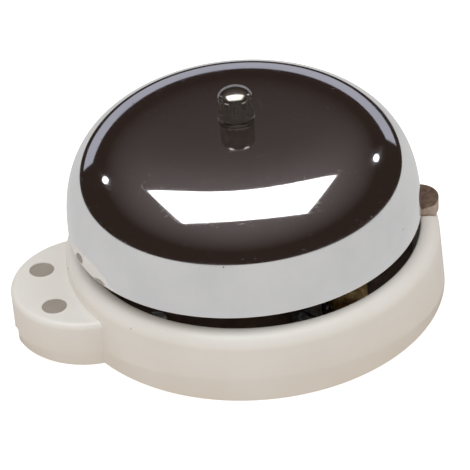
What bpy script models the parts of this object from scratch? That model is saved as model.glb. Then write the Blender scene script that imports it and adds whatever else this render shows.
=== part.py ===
"""Under-dome service bell: a chromed gong on a central post over a round moulded base.

A trembler mechanism sits on a plate under the gong.  The armature swings on an upright pin, and its
hammer strikes the gong from inside.  A thumb-knob at the edge of the base turns a felt pad towards the
gong, which softens its sound.  The ear on the base holds the two terminals.

Frame: the origin is the centre of the round base on its underside, +Z is up and the ear points to -X.
All sizes are in metres.
"""
import math

import bmesh
import bpy
from mathutils import Vector

# ---------------------------------------------------------------- clearances
GAP = 0.0003                # between pieces that touch on the real bell
OVERCUT = 0.001             # how far a cutter runs past the face that it opens

# ---------------------------------------------------------------- gong
GONG_RADIUS = 0.0400        # outside, at the rim
GONG_HEIGHT = 0.0257        # rim to crown, outside
SKIRT_PEAK = 0.0267         # height the skirt's curve would reach at the axis
GONG_WALL = 0.0012
GONG_SHIFT = -0.0014        # the gong's axis lies this far along X from the base's centre
GONG_SIDE_POWER = 3.39      # higher is a steeper skirt
GONG_CROWN_POWER = 2.735    # higher is a tighter shoulder
CROWN_SHARE = 0.795         # share of the radius that the flatter crown takes
CROWN_FALL = 0.0008         # gentle fall of the crown before it turns down
RIM_LIFT = 0.0039           # rim above the shoulder of the base
CROWN_RINGS = 5
SKIRT_RINGS = 7
GONG_STEPS = 44

# ---------------------------------------------------------------- moulded base
BASE_MARGIN = 0.0032        # base radius beyond the gong's radius
BASE_HEIGHT = 0.0164
BASE_WALL = 0.0028
BASE_DRAFT = 0.0006         # how much the wall leans in from its foot to the shoulder
SHOULDER_WIDTH = 0.0040     # from the wall to the inner edge, across the rounded shoulder
SHOULDER_DROP = 0.0034      # height of the shoulder's round
LIP_DEPTH = 0.0028          # thickness of the shoulder's inner lip
EDGE_ROUND = 0.0004
BASE_STEPS = 48
SHOULDER_STEPS = 4

# ---------------------------------------------------------------- ear
EAR_RADIUS = 0.0176
EAR_INSET = 0.0046          # centre of the ear's round end inside the base's wall
EAR_HEIGHT = 0.0110
EAR_WALL = 0.0022
EAR_ROUND = 0.0014
EAR_STEPS = 40
ACCESS_RADIUS = 0.0028      # the two round holes over the terminal screws
ACCESS_OFFSET = 0.0092      # holes beyond the centre of the ear's round end
ACCESS_HALF_PITCH = 0.0074
CABLE_NOTCH_WIDTH = 0.0050
CABLE_NOTCH_HEIGHT = 0.0028
PLUG_SINK = 0.0002          # plug face below the ear's top face
PLUG_DEPTH = 0.0018

# ---------------------------------------------------------------- plates and bosses
BASE_PLATE_THICK = 0.0020
BOSS_RADIUS = 0.0032
BOSS_RIB = 0.0026
SEAT_HEIGHT = 0.0070        # top of the bosses that carry the mechanism plate
PLATE_THICK = 0.0015
PLATE_ROOM = 0.0020         # mechanism plate inside the base's inner edge
PLATE_BOSS_ANGLES = (25, 120, 215)
COVER_BOSS_ANGLES = (75, 150, 330)

# ---------------------------------------------------------------- screws and nuts
SHANK_RADIUS = 0.0013
HEAD_RADIUS = 0.0025
HEAD_HEIGHT = 0.0016
SLOT_WIDTH = 0.0006
COVER_HEAD_HEIGHT = 0.0007
STUD_RADIUS = 0.0020        # M4 stud at both ends of the post
NUT_FLATS = 0.0070          # across the flats of an M4 nut
POST_NUT_HEIGHT = 0.0026
CAP_NUT_CORNERS = 0.00766   # across the corners, which are slightly rounded off
CAP_NUT_SIDE = 0.0053       # height of the flats at their corners
CAP_NUT_HEIGHT = 0.0073
CAP_NUT_RINGS = 4
CAP_NUT_TURN = 18.5         # degrees that the nut is turned on its stud

# ---------------------------------------------------------------- post and washers
POST_RADIUS = 0.0045
SEAT_WASHER_RADIUS = 0.0060
SEAT_WASHER_THICK = 0.0008
TOP_WASHER_RADIUS = 0.0041
TOP_WASHER_THICK = 0.0004

# ---------------------------------------------------------------- electromagnet
FRONT_ROOM = 0.0168         # pivot pin to the gong's inner wall, straight to the front
COIL_ROOM = 0.0024          # post to the bobbin's flange
FLANGE_RADIUS = 0.0075
FLANGE_THICK = 0.0010
WINDING_RADIUS = 0.0066
TUBE_WALL = 0.0007
COIL_LENGTH = 0.0207        # over both flanges
CORE_RADIUS = 0.0030
POLE_PROUD = 0.0012         # core beyond the front flange
POLE_GAP = 0.0014           # armature to pole face, at rest
YOKE_THICK = 0.0016
YOKE_BACK_THICK = 0.0020
YOKE_WIDTH = 0.0140
YOKE_TAB = 0.0085           # foot behind the upright, for its two screws
YOKE_RISE = 0.0065          # upright above the coil's axis

# ---------------------------------------------------------------- armature and hammer
PIVOT_X = 0.0050
PIN_RADIUS = 0.0012
KNUCKLE_RADIUS = 0.0026
ARMATURE_THICK = 0.0018
ARMATURE_HEIGHT = 0.0070
ARMATURE_REACH = 0.0160     # pin to the free end of the bar
ROD_BLOCK_LENGTH = 0.0070
ROD_BLOCK_DEPTH = 0.0040
ROD_BLOCK_HEIGHT = 0.0050
ROD_RADIUS = 0.0008
ROD_INSERT = 0.0045
HAMMER_RADIUS = 0.0040
HAMMER_LIFT = 0.0043        # hammer centre above the gong's rim
HAMMER_ANGLE = -145         # direction of the hammer from the gong's axis
SWING = 4.5                 # degrees from rest to the strike
STRIKE_GAP = 0.0003         # hammer to gong at the end of the swing

# ---------------------------------------------------------------- pivot bracket and return spring
LUG_THICK = 0.0012
LUG_SPACE = 0.0106          # between the two lugs
LUG_LIFT = 0.0028           # underside of the lower lug above the bracket's foot
BRACKET_HALF_WIDTH = 0.0035
BRACKET_BACK = 0.0050       # pin to the near face of the bracket's web
BRACKET_THICK = 0.0012
BRACKET_FOOT = 0.0060
SPRING_WIRE = 0.00025
SPRING_COIL = 0.0021
SPRING_TURNS = 3.5
SPRING_PITCH = 0.0006

# ---------------------------------------------------------------- contact
LEAF_THICK = 0.0004
LEAF_HEIGHT = 0.0040
LEAF_START = 0.0036         # from the pin
LEAF_LENGTH = 0.0088
RIVET_REACH = 0.0048
RIVET_SHANK = 0.0007
RIVET_HEAD = 0.0012
RIVET_HEAD_THICK = 0.0004
CONTACT_REACH = 0.0100      # from the pin to the contact, along the armature
BUTTON_RADIUS = 0.0013
BUTTON_THICK = 0.0008
CONTACT_SCREW_RADIUS = 0.0012
CONTACT_POST_ROOM = 0.0031  # contact button to the bracket's upright
CONTACT_FOOT = 0.0053
CONTACT_RISE = 0.0035       # upright above the contact screw
CONTACT_HEAD_RADIUS = 0.0020
CONTACT_HEAD_THICK = 0.0013
LOCK_NUT_FLATS = 0.0048
LOCK_NUT_THICK = 0.0017
CONTACT_HALF_WIDTH = 0.0040

# ---------------------------------------------------------------- terminals and leads
BLOCK_HALF_DEPTH = 0.0029
BLOCK_HALF_LENGTH = 0.0092
BLOCK_HEIGHT = 0.0033
TERMINAL_THICK = 0.0008
TERMINAL_HALF = 0.0024
TERMINAL_HEAD_RADIUS = 0.0020
TERMINAL_HEAD_HEIGHT = 0.0012
TERMINAL_SHANK = 0.0011
LEAD_RADIUS = 0.0006
LEAD_ROOM = 0.0018          # lead to the post's nut
LEAD_HEIGHT = 0.0048        # centre line of the leads under the mechanism plate

# ---------------------------------------------------------------- loudness knob
KNOB_OFFSET = 0.0001        # knob axis beyond the inner edge of the base
KNOB_ANGLE = -5.7
KNOB_RADIUS = 0.0050
KNOB_TOP_ROOM = 0.0016      # knob's top face to the gong's rim
KNOB_HEIGHT = 0.0038
KNOB_EDGE = 0.0004
KNOB_DISH = 0.0005
KNOB_BOSS_RADIUS = 0.00375
KNOB_BOSS_FOOT = 0.0055
KNOB_SHAFT_RADIUS = 0.0020
KNOB_SHAFT_FOOT = 0.0034
CLIP_GROOVE = 0.0005
CLIP_THICK = 0.0006
CLIP_RADIUS = 0.0030
PEG_OFFSET = 0.0040
PEG_RADIUS = 0.0007
PEG_HEIGHT = 0.0066
KNOB_SWING = 40             # degrees from loud to soft
PAD_LENGTH = 0.0036

# ---------------------------------------------------------------- places worked out from the sizes
BASE_RADIUS = GONG_RADIUS + BASE_MARGIN
BASE_TOP_RADIUS = BASE_RADIUS - BASE_DRAFT
INNER_EDGE = BASE_TOP_RADIUS - SHOULDER_WIDTH - EDGE_ROUND
EAR_REACH = BASE_RADIUS - EAR_INSET
ACCESS_REACH = EAR_REACH + ACCESS_OFFSET
CHAMBER_RADIUS = BASE_RADIUS - BASE_WALL
EAR_CHAMBER = EAR_RADIUS - EAR_WALL
RIM_Z = BASE_HEIGHT + RIM_LIFT
CROWN_Z = RIM_Z + GONG_HEIGHT
PLATE_BOTTOM = SEAT_HEIGHT + GAP
PLATE_TOP = PLATE_BOTTOM + PLATE_THICK
PLATE_RADIUS = INNER_EDGE - PLATE_ROOM
BOSS_REACH = PLATE_RADIUS - BOSS_RADIUS
FLOOR = BASE_PLATE_THICK + GAP
SEATED = PLATE_TOP + GAP    # where pieces on the mechanism plate begin
FREE_SHANK = SHANK_RADIUS + GAP
FREE_STUD = STUD_RADIUS + GAP
FREE_LEAD = LEAD_RADIUS + 2 * GAP
POST = Vector((GONG_SHIFT, 0, 0))
PIVOT = Vector((PIVOT_X, -(GONG_RADIUS - GONG_WALL - FRONT_ROOM), 0))
COIL_X = GONG_SHIFT + POST_RADIUS + COIL_ROOM + FLANGE_RADIUS
COIL_Z = SEATED + YOKE_THICK + GAP + FLANGE_RADIUS
POLE_Y = PIVOT.y + ARMATURE_THICK / 2 + POLE_GAP
FLANGE_Y = POLE_Y + POLE_PROUD
YOKE_BACK_Y = FLANGE_Y + COIL_LENGTH + GAP
LUG_LOW = SEATED + BRACKET_THICK + LUG_LIFT
LUG_HIGH = LUG_LOW + LUG_THICK + LUG_SPACE
ARM_LOW = LUG_LOW + LUG_THICK + GAP
ARM_HIGH = ARM_LOW + ARMATURE_HEIGHT
ROD_Z = ARM_HIGH - ROD_BLOCK_HEIGHT / 2
HAMMER_Z = RIM_Z + HAMMER_LIFT
WEB_Y = PIVOT.y - BRACKET_BACK
LEAF_Y = PIVOT.y - ARMATURE_THICK / 2 - GAP
CONTACT_X = PIVOT.x + CONTACT_REACH
CONTACT_Z = (ARM_LOW + ARM_HIGH) / 2
BUTTON_Y = LEAF_Y - LEAF_THICK - BUTTON_THICK
CONTACT_POST_Y = BUTTON_Y - CONTACT_POST_ROOM
BLOCK_TOP = FLOOR + BLOCK_HEIGHT
TERMINAL_TOP = BLOCK_TOP + GAP + TERMINAL_THICK
KNOB = Vector((math.cos(math.radians(KNOB_ANGLE)), math.sin(math.radians(KNOB_ANGLE)), 0))
KNOB *= INNER_EDGE + KNOB_OFFSET
KNOB_TOP = RIM_Z - KNOB_TOP_ROOM
KNOB_BOTTOM = KNOB_TOP - KNOB_HEIGHT
KNOB_SEAT = KNOB_BOTTOM - GAP

# ---------------------------------------------------------------- colours
CREAM = (0.70, 0.66, 0.60)
TAUPE = (0.36, 0.31, 0.26)
BROWN = (0.13, 0.075, 0.05)
PHENOLIC = (0.05, 0.028, 0.02)
CHROME = (0.80, 0.80, 0.82)
NICKEL = (0.62, 0.60, 0.56)
STEEL = (0.45, 0.45, 0.46)
BRASS = (0.72, 0.53, 0.24)
COPPER = (0.60, 0.22, 0.10)
FIBRE = (0.40, 0.10, 0.07)
FELT = (0.10, 0.22, 0.14)
WIRE_RED = (0.45, 0.04, 0.03)
WIRE_BLACK = (0.02, 0.02, 0.02)


def clear_scene():
    """Remove every object that the scene holds."""
    for obj in list(bpy.data.objects):
        bpy.data.objects.remove(obj, do_unlink=True)


def make_collection(name):
    """Add a collection to the scene."""
    group = bpy.data.collections.new(name)
    bpy.context.scene.collection.children.link(group)
    return group


def finish(obj, colour, roughness, metallic=0.0):
    """Give a piece its own material."""
    material = bpy.data.materials.new(obj.name + "_finish")
    material.use_nodes = True
    shader = material.node_tree.nodes["Principled BSDF"]
    shader.inputs["Base Color"].default_value = (*colour, 1)
    shader.inputs["Roughness"].default_value = roughness
    shader.inputs["Metallic"].default_value = metallic
    material.diffuse_color = (*colour, 1)
    obj.data.materials.append(material)
    return obj


# ---------------------------------------------------------------- shapes
def new_object(name, shape, group=None):
    """Make an object from a bmesh, in the bell's collection unless another is named."""
    mesh = bpy.data.meshes.new(name)
    shape.to_mesh(mesh)
    shape.free()
    mesh.shade_smooth()
    mesh.set_sharp_from_angle(angle=math.radians(35))
    obj = bpy.data.objects.new(name, mesh)
    (group or BELL).objects.link(obj)
    return obj


def box(name, low, high, group=None):
    """A box between two corners."""
    low, high = Vector(low), Vector(high)
    shape = bmesh.new()
    bmesh.ops.create_cube(shape, size=1)
    for vert in shape.verts:
        vert.co = [(low[i] + high[i]) / 2 + vert.co[i] * (high[i] - low[i]) for i in range(3)]
    return new_object(name, shape, group)


def rod(name, start, end, radius, sides=12, group=None):
    """A round bar from start to end."""
    start, end = Vector(start), Vector(end)
    shape = bmesh.new()
    bmesh.ops.create_cone(shape, cap_ends=True, segments=sides, radius1=radius, radius2=radius,
                          depth=(end - start).length)
    turn = (end - start).to_track_quat("Z", "Y").to_matrix().to_4x4()
    turn.translation = (start + end) / 2
    shape.transform(turn)
    return new_object(name, shape, group)


def upright(name, centre, low, high, radius, sides=16, group=None):
    """An upright round bar about a point in plan."""
    return rod(name, (centre[0], centre[1], low), (centre[0], centre[1], high), radius, sides, group)


def hexagon(name, start, end, flats, group=None):
    """A six-sided bar measured across its flats."""
    return rod(name, start, end, flats / math.sqrt(3), 6, group)


def turned(name, profile, closed=False, steps=16, at=(0, 0, 0), along_y=False, group=None):
    """Turn a profile of (radius, height) points, which runs down its outer side, about an axis.

    The axis is upright through `at`, or along Y, where heights then run towards +Y.
    """
    shape = bmesh.new()
    verts = [shape.verts.new((radius, 0, height)) for radius, height in profile]
    pairs = list(zip(verts, verts[1:]))
    if closed:
        pairs.append((verts[-1], verts[0]))
    for pair in pairs:
        shape.edges.new(pair)
    obj = new_object(name, shape, group)
    screw = obj.modifiers.new("Turn", "SCREW")
    screw.steps = steps
    screw.render_steps = steps
    screw.use_merge_vertices = True
    screw.merge_threshold = 0.00001
    screw.use_smooth_shade = True
    obj.location = at
    if along_y:
        obj.rotation_euler = (-math.pi / 2, 0, 0)
    return obj


def wire(name, points, radius, smooth=True):
    """A round wire through points, as a mesh with welded caps."""
    path = spline_through([Vector(p) for p in points]) if smooth else [Vector(p) for p in points]
    curve = bpy.data.curves.new(name + "_path", "CURVE")
    curve.dimensions = "3D"
    curve.bevel_depth = radius
    curve.bevel_resolution = 2
    curve.use_fill_caps = True
    line = curve.splines.new("POLY")
    line.points.add(len(path) - 1)
    for point, place in zip(line.points, path):
        point.co = (*place, 1)
    guide = bpy.data.objects.new(name + "_path", curve)
    BELL.objects.link(guide)
    evaluated = guide.evaluated_get(bpy.context.evaluated_depsgraph_get())
    mesh = bpy.data.meshes.new_from_object(evaluated)
    shape = bmesh.new()
    shape.from_mesh(mesh)
    bmesh.ops.remove_doubles(shape, verts=shape.verts, dist=0.00001)
    bpy.data.meshes.remove(mesh)
    bpy.data.objects.remove(guide)
    bpy.data.curves.remove(curve)
    return new_object(name, shape)


def spline_through(points, pieces=3):
    """Read a smooth curve through the points."""
    ends = [2 * points[0] - points[1]] + points + [2 * points[-1] - points[-2]]
    path = []
    for before, here, there, after in zip(ends, ends[1:], ends[2:], ends[3:]):
        for step in range(pieces):
            t = step / pieces
            path.append(0.5 * (2 * here + (there - before) * t
                               + (2 * before - 5 * here + 4 * there - after) * t * t
                               + (3 * here - before - 3 * there + after) * t ** 3))
    path.append(points[-1])
    return path


# ---------------------------------------------------------------- cutting and joining
def as_cutter(obj):
    """Keep a tool out of the finished model."""
    obj.hide_render = True
    obj.display_type = "WIRE"
    return obj


def combine(obj, tool, operation):
    """Cut a piece with a tool, or join the tool to it."""
    step = obj.modifiers.new(operation.title(), "BOOLEAN")
    step.operation = operation
    step.solver = "EXACT"
    step.object = as_cutter(tool)
    return obj


def cut(obj, *tools):
    """Take each tool's shape away from a piece."""
    for tool in tools:
        combine(obj, tool, "DIFFERENCE")
    return obj


def join(obj, *tools):
    """Add each tool's shape to a piece."""
    for tool in tools:
        combine(obj, tool, "UNION")
    return obj


def hole(name, centre, low, high, radius, sides=12):
    """A cutter for an upright hole."""
    return upright(name + "_hole", centre, low, high, radius, sides, CUTTERS)


def soften(obj, width, segments=1, angle=40):
    """Round a piece's sharp edges."""
    bevel = obj.modifiers.new("Edges", "BEVEL")
    bevel.width = width
    bevel.segments = segments
    bevel.limit_method = "ANGLE"
    bevel.angle_limit = math.radians(angle)
    return obj


def polar(radius, degrees):
    """A point in plan about the base's centre."""
    angle = math.radians(degrees)
    return Vector((radius * math.cos(angle), radius * math.sin(angle), 0))


# ---------------------------------------------------------------- gong and what holds it
def crown_height(radius):
    """Height of the crown's outside above the rim, which runs smoothly into the skirt."""
    start = CROWN_SHARE * GONG_RADIUS
    filled = CROWN_SHARE ** GONG_SIDE_POWER
    edge = SKIRT_PEAK * (1 - filled) ** (1 / GONG_CROWN_POWER)
    slope = edge / (1 - filled) * filled * GONG_SIDE_POWER / GONG_CROWN_POWER
    bend = GONG_HEIGHT - CROWN_FALL - edge
    share = radius / start
    return GONG_HEIGHT - CROWN_FALL * share ** 2 - bend * share ** ((slope - 2 * CROWN_FALL) / bend)


def gong_outline():
    """Points of the gong from its crown hole down to its rim, as (radius, height)."""
    points = []
    start = CROWN_SHARE * GONG_RADIUS
    for ring in range(CROWN_RINGS):
        radius = FREE_STUD + (start - FREE_STUD) * math.sin(math.pi / 2 * ring / CROWN_RINGS)
        points.append((radius, RIM_Z + crown_height(radius)))
    for ring in range(SKIRT_RINGS, -1, -1):
        angle = math.acos(CROWN_SHARE ** (GONG_SIDE_POWER / 2)) * ring / SKIRT_RINGS
        points.append((GONG_RADIUS * math.cos(angle) ** (2 / GONG_SIDE_POWER),
                       RIM_Z + SKIRT_PEAK * math.sin(angle) ** (2 / GONG_CROWN_POWER)))
    return points


def gong_inside(height):
    """The skirt's inside radius at a height above the gong's rim."""
    rise = math.asin(((height - RIM_Z) / SKIRT_PEAK) ** (GONG_CROWN_POWER / 2))
    facet = math.cos(math.pi / GONG_STEPS)
    return GONG_RADIUS * math.cos(rise) ** (2 / GONG_SIDE_POWER) * facet - GONG_WALL


def make_gong():
    """A thin shell turned from its outline, open at the rim and at the stud."""
    gong = turned("gong", gong_outline(), steps=GONG_STEPS, at=POST)
    wall = gong.modifiers.new("Wall", "SOLIDIFY")
    wall.thickness = GONG_WALL
    wall.offset = -1
    wall.use_even_offset = True
    finish(gong, CHROME, 0.06, 1.0)


def make_post():
    """A pillar with an M4 stud at each end."""
    shoulder = CROWN_Z - GONG_WALL - 2 * GAP - SEAT_WASHER_THICK
    stud_top = CROWN_Z + TOP_WASHER_THICK + 2 * GAP + CAP_NUT_SIDE - GAP
    stud_foot = SEAT_HEIGHT - POST_NUT_HEIGHT - GAP
    profile = [(0, stud_top), (STUD_RADIUS, stud_top), (STUD_RADIUS, shoulder),
               (POST_RADIUS - EDGE_ROUND, shoulder), (POST_RADIUS, shoulder - EDGE_ROUND),
               (POST_RADIUS, SEATED), (STUD_RADIUS, SEATED), (STUD_RADIUS, stud_foot), (0, stud_foot)]
    finish(turned("gong_post", profile, steps=20, at=POST), STEEL, 0.35, 1.0)
    nut = hexagon("post_nut", POST + Vector((0, 0, SEAT_HEIGHT - POST_NUT_HEIGHT)),
                  POST + Vector((0, 0, SEAT_HEIGHT)), NUT_FLATS)
    cut(nut, hole("post_nut", POST, 0, PLATE_TOP, FREE_STUD))
    finish(nut, STEEL, 0.4, 1.0)


def make_washer(name, bottom, thick, radius, colour, roughness, metallic):
    """A flat ring on the post's stud."""
    top = bottom + thick
    profile = [(radius, top), (radius, bottom), (FREE_STUD, bottom), (FREE_STUD, top)]
    washer = turned(name, profile, closed=True, steps=20, at=POST)
    finish(washer, colour, roughness, metallic)


def make_cap_nut():
    """A domed cap nut: six flats under a low round crown, with a blind bore."""
    bottom = CROWN_Z + TOP_WASHER_THICK + 2 * GAP
    flats_top = bottom + CAP_NUT_SIDE
    corner = CAP_NUT_CORNERS / 2
    crown = CAP_NUT_HEIGHT - CAP_NUT_SIDE
    side = []
    for step in range(CAP_NUT_RINGS + 1):
        angle = math.pi / 2 * step / CAP_NUT_RINGS
        side.append((corner * math.sin(angle), flats_top + crown * math.cos(angle)))
    side += [(corner, bottom + EDGE_ROUND), (corner - 2 * EDGE_ROUND, bottom), (0, bottom)]
    nut = turned("cap_nut", side, steps=24, at=POST)
    flats = hexagon("cap_nut_flats", (0, 0, bottom - OVERCUT), (0, 0, bottom + CAP_NUT_HEIGHT + OVERCUT),
                    NUT_FLATS, CUTTERS)
    flats.location = POST
    flats.rotation_euler = (0, 0, math.radians(CAP_NUT_TURN))
    combine(nut, flats, "INTERSECT")
    cut(nut, hole("cap_nut", POST, bottom - OVERCUT, flats_top, FREE_STUD))
    finish(nut, NICKEL, 0.18, 1.0)


# ---------------------------------------------------------------- moulded base
def ring_profile():
    """The round wall's section: over the shoulder, down the outside and back up the inside."""
    points = [(INNER_EDGE + EDGE_ROUND, BASE_HEIGHT)]
    for step in range(1, SHOULDER_STEPS + 1):
        angle = math.pi / 2 * step / SHOULDER_STEPS
        points.append((INNER_EDGE + EDGE_ROUND + SHOULDER_WIDTH * math.sin(angle),
                       BASE_HEIGHT - SHOULDER_DROP * (1 - math.cos(angle))))
    ledge = BASE_HEIGHT - SHOULDER_DROP - BASE_DRAFT
    points += [(BASE_RADIUS, 0), (BASE_RADIUS, -OVERCUT), (CHAMBER_RADIUS, -OVERCUT),
               (CHAMBER_RADIUS, ledge), (INNER_EDGE, BASE_HEIGHT - LIP_DEPTH),
               (INNER_EDGE, BASE_HEIGHT - EDGE_ROUND)]
    return points


def ear_block():
    """The solid of the ear up to the middle of the round wall, with a rounded top edge."""
    shape = upright("ear_block", (-EAR_REACH, 0), -2 * OVERCUT, EAR_HEIGHT, EAR_RADIUS, EAR_STEPS, CUTTERS)
    shape.data.attributes.new("bevel_weight_edge", "FLOAT", "EDGE")
    weights = shape.data.attributes["bevel_weight_edge"].data
    for edge in shape.data.edges:
        ends = [shape.data.vertices[i].co.z for i in edge.vertices]
        weights[edge.index].value = float(min(ends) > EAR_HEIGHT - EAR_ROUND)
    bevel = shape.modifiers.new("Top edge", "BEVEL")
    bevel.width = EAR_ROUND
    bevel.segments = 3
    bevel.limit_method = "WEIGHT"
    return cut(shape, upright("ear_core", (0, 0), -3 * OVERCUT, BASE_HEIGHT,
                              CHAMBER_RADIUS + BASE_WALL / 2, BASE_STEPS, CUTTERS))


def add_boss(housing, name, angle, top, bore_low, bore_high):
    """Stand a bored boss in the chamber, on a rib from the wall."""
    centre = polar(BOSS_REACH, angle)
    boss = upright(name + "_boss", centre, FLOOR, top, BOSS_RADIUS, 16, CUTTERS)
    rib = box(name + "_rib", (BOSS_REACH, -BOSS_RIB / 2, FLOOR + EDGE_ROUND),
              (CHAMBER_RADIUS + OVERCUT, BOSS_RIB / 2, top - EDGE_ROUND), CUTTERS)
    rib.rotation_euler = (0, 0, math.radians(angle))
    join(housing, rib, boss)
    cut(housing, hole(name, centre, bore_low, bore_high, FREE_SHANK))


def make_housing():
    """The cream moulding: round wall, shoulder, ear, bosses and cable notch in one piece."""
    housing = turned("base_housing", ring_profile(), closed=True, steps=BASE_STEPS)
    join(housing, ear_block())
    far = 2 * BASE_RADIUS
    cut(housing, upright("ear_chamber", (-EAR_REACH, 0), -3 * OVERCUT, EAR_HEIGHT - EAR_WALL,
                         EAR_CHAMBER, EAR_STEPS, CUTTERS),
        box("under_base", (-far, -far, -4 * OVERCUT), (far, far, 0), CUTTERS))
    for number, angle in enumerate(PLATE_BOSS_ANGLES, 1):
        add_boss(housing, "plate_screw_%d" % number, angle, SEAT_HEIGHT, FLOOR + GAP,
                 SEAT_HEIGHT + OVERCUT)
    for number, angle in enumerate(COVER_BOSS_ANGLES, 1):
        top = SEAT_HEIGHT - GAP
        add_boss(housing, "cover_screw_%d" % number, angle, top, FLOOR - OVERCUT, top - 2 * EDGE_ROUND)
    join(housing, upright("knob_boss", KNOB, KNOB_BOSS_FOOT, KNOB_SEAT + GAP, KNOB_BOSS_RADIUS, 20, CUTTERS))
    cut(housing, hole("clip_room", KNOB, -OVERCUT, KNOB_BOSS_FOOT + EDGE_ROUND, CLIP_RADIUS + GAP, 16))
    cut(housing, hole("knob_shaft", KNOB, KNOB_BOSS_FOOT - OVERCUT, BASE_HEIGHT + OVERCUT,
                      KNOB_SHAFT_RADIUS + GAP, 16))
    cut(housing, hole("knob_seat", KNOB, KNOB_SEAT, BASE_HEIGHT + OVERCUT, KNOB_RADIUS + GAP, 28))
    for side in (-1, 1):
        place = (-ACCESS_REACH, side * ACCESS_HALF_PITCH)
        cut(housing, hole("access", place, EAR_HEIGHT - EAR_WALL - OVERCUT, EAR_HEIGHT + OVERCUT,
                          ACCESS_RADIUS, 20))
    cut(housing, cable_notch("housing"))
    finish(housing, CREAM, 0.38)


def cable_notch(owner):
    """A cutter for the cable's way in at the tip of the ear."""
    tip = -EAR_REACH - EAR_RADIUS
    return box(owner + "_notch", (tip - OVERCUT, -CABLE_NOTCH_WIDTH / 2, -OVERCUT),
               (tip + 2 * EAR_WALL, CABLE_NOTCH_WIDTH / 2, CABLE_NOTCH_HEIGHT), CUTTERS)


def make_base_plate():
    """The closing plate in the foot of the base, flush with the wall's lower edge."""
    plate = upright("base_plate", (0, 0), 0, BASE_PLATE_THICK, CHAMBER_RADIUS - GAP, BASE_STEPS)
    join(plate, upright("base_plate_ear", (-EAR_REACH, 0), 0, BASE_PLATE_THICK, EAR_CHAMBER - GAP,
                        EAR_STEPS, CUTTERS))
    cut(plate, cable_notch("plate"))
    for number, angle in enumerate(COVER_BOSS_ANGLES, 1):
        name = "cover_screw_%d" % number
        place = polar(BOSS_REACH, angle)
        sink = EDGE_ROUND + COVER_HEAD_HEIGHT
        cut(plate, hole(name + "_sink", place, -OVERCUT, sink, HEAD_RADIUS + GAP, 16))
        cut(plate, hole(name + "_way", place, 0, BASE_PLATE_THICK + OVERCUT, FREE_SHANK))
        make_screw(name, place, EDGE_ROUND / 2 + COVER_HEAD_HEIGHT, SEAT_HEIGHT - 4 * EDGE_ROUND,
                   head=COVER_HEAD_HEIGHT, down=False)
    finish(plate, PHENOLIC, 0.6)


# ---------------------------------------------------------------- screws
def make_screw(name, place, seat, tip, head=HEAD_HEIGHT, down=True, head_radius=HEAD_RADIUS,
               shank_radius=SHANK_RADIUS, colour=STEEL):
    """A slotted cheese-head screw.  Its head rests at `seat` and its shank runs to `tip`."""
    if down:
        top = seat + head
        profile = [(0, top), (head_radius - EDGE_ROUND, top), (head_radius, top - EDGE_ROUND),
                   (head_radius, seat), (shank_radius, seat), (shank_radius, tip + EDGE_ROUND),
                   (shank_radius - EDGE_ROUND, tip), (0, tip)]
        slot_low, slot_high = top - head / 2, top + OVERCUT
    else:
        foot = seat - head
        profile = [(0, tip), (shank_radius - EDGE_ROUND, tip), (shank_radius, tip - EDGE_ROUND),
                   (shank_radius, seat), (head_radius, seat), (head_radius, foot), (0, foot)]
        slot_low, slot_high = foot - OVERCUT, foot + head / 2
    screw = turned(name, profile, steps=12, at=(place[0], place[1], 0))
    slot = box(name + "_slot", (place[0] - 2 * head_radius, place[1] - SLOT_WIDTH / 2, slot_low),
               (place[0] + 2 * head_radius, place[1] + SLOT_WIDTH / 2, slot_high), CUTTERS)
    cut(screw, slot)
    finish(screw, colour, 0.35, 1.0)
    return screw


# ---------------------------------------------------------------- mechanism plate and magnet
def yoke_screw_places():
    """The two screws side by side on the foot behind the upright."""
    y = YOKE_BACK_Y + YOKE_BACK_THICK + YOKE_TAB / 2
    return [Vector((COIL_X + side * YOKE_WIDTH / 4, y, 0)) for side in (-1, 1)]


def pivot_screw_place():
    """The screw in the pivot bracket's foot."""
    return Vector((PIVOT.x, WEB_Y - BRACKET_THICK - BRACKET_FOOT / 2, 0))


def contact_screw_place():
    """The screw in the contact bracket's foot."""
    return Vector((CONTACT_X, CONTACT_POST_Y + CONTACT_FOOT / 2, 0))


def coil_lead_place():
    """Where the coil's lead comes up through the mechanism plate."""
    return Vector((COIL_X - FLANGE_RADIUS - LEAD_RADIUS - 3 * GAP, YOKE_BACK_Y + 2 * YOKE_BACK_THICK, 0))


def contact_lead_place():
    """Where the contact's lead comes up, between the two brackets."""
    between = (PIVOT.x + BRACKET_HALF_WIDTH + CONTACT_X - CONTACT_HALF_WIDTH) / 2
    return Vector((between, CONTACT_POST_Y + CONTACT_FOOT / 2, 0))


def make_mechanism_plate():
    """The round insulating plate that carries the mechanism."""
    plate = upright("mechanism_plate", (0, 0), PLATE_BOTTOM, PLATE_TOP, PLATE_RADIUS, 40)
    low, high = PLATE_BOTTOM - OVERCUT, PLATE_TOP + OVERCUT
    cut(plate, hole("plate_post", POST, low, high, FREE_STUD))
    cut(plate, hole("plate_knob_boss", KNOB, low, high, KNOB_BOSS_RADIUS + GAP, 28))
    for number, angle in enumerate(PLATE_BOSS_ANGLES, 1):
        name = "plate_screw_%d" % number
        place = polar(BOSS_REACH, angle)
        cut(plate, hole(name + "_way", place, low, high, FREE_SHANK))
        make_screw(name, place, SEATED, FLOOR + 4 * EDGE_ROUND)
    fixings = yoke_screw_places() + [pivot_screw_place(), contact_screw_place()]
    for number, place in enumerate(fixings, 1):
        cut(plate, hole("fixing_%d" % number, place, low, high, FREE_SHANK))
    for number, place in enumerate((coil_lead_place(), contact_lead_place()), 1):
        cut(plate, hole("lead_%d" % number, place, low, high, FREE_LEAD))
    finish(plate, PHENOLIC, 0.5)


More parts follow.
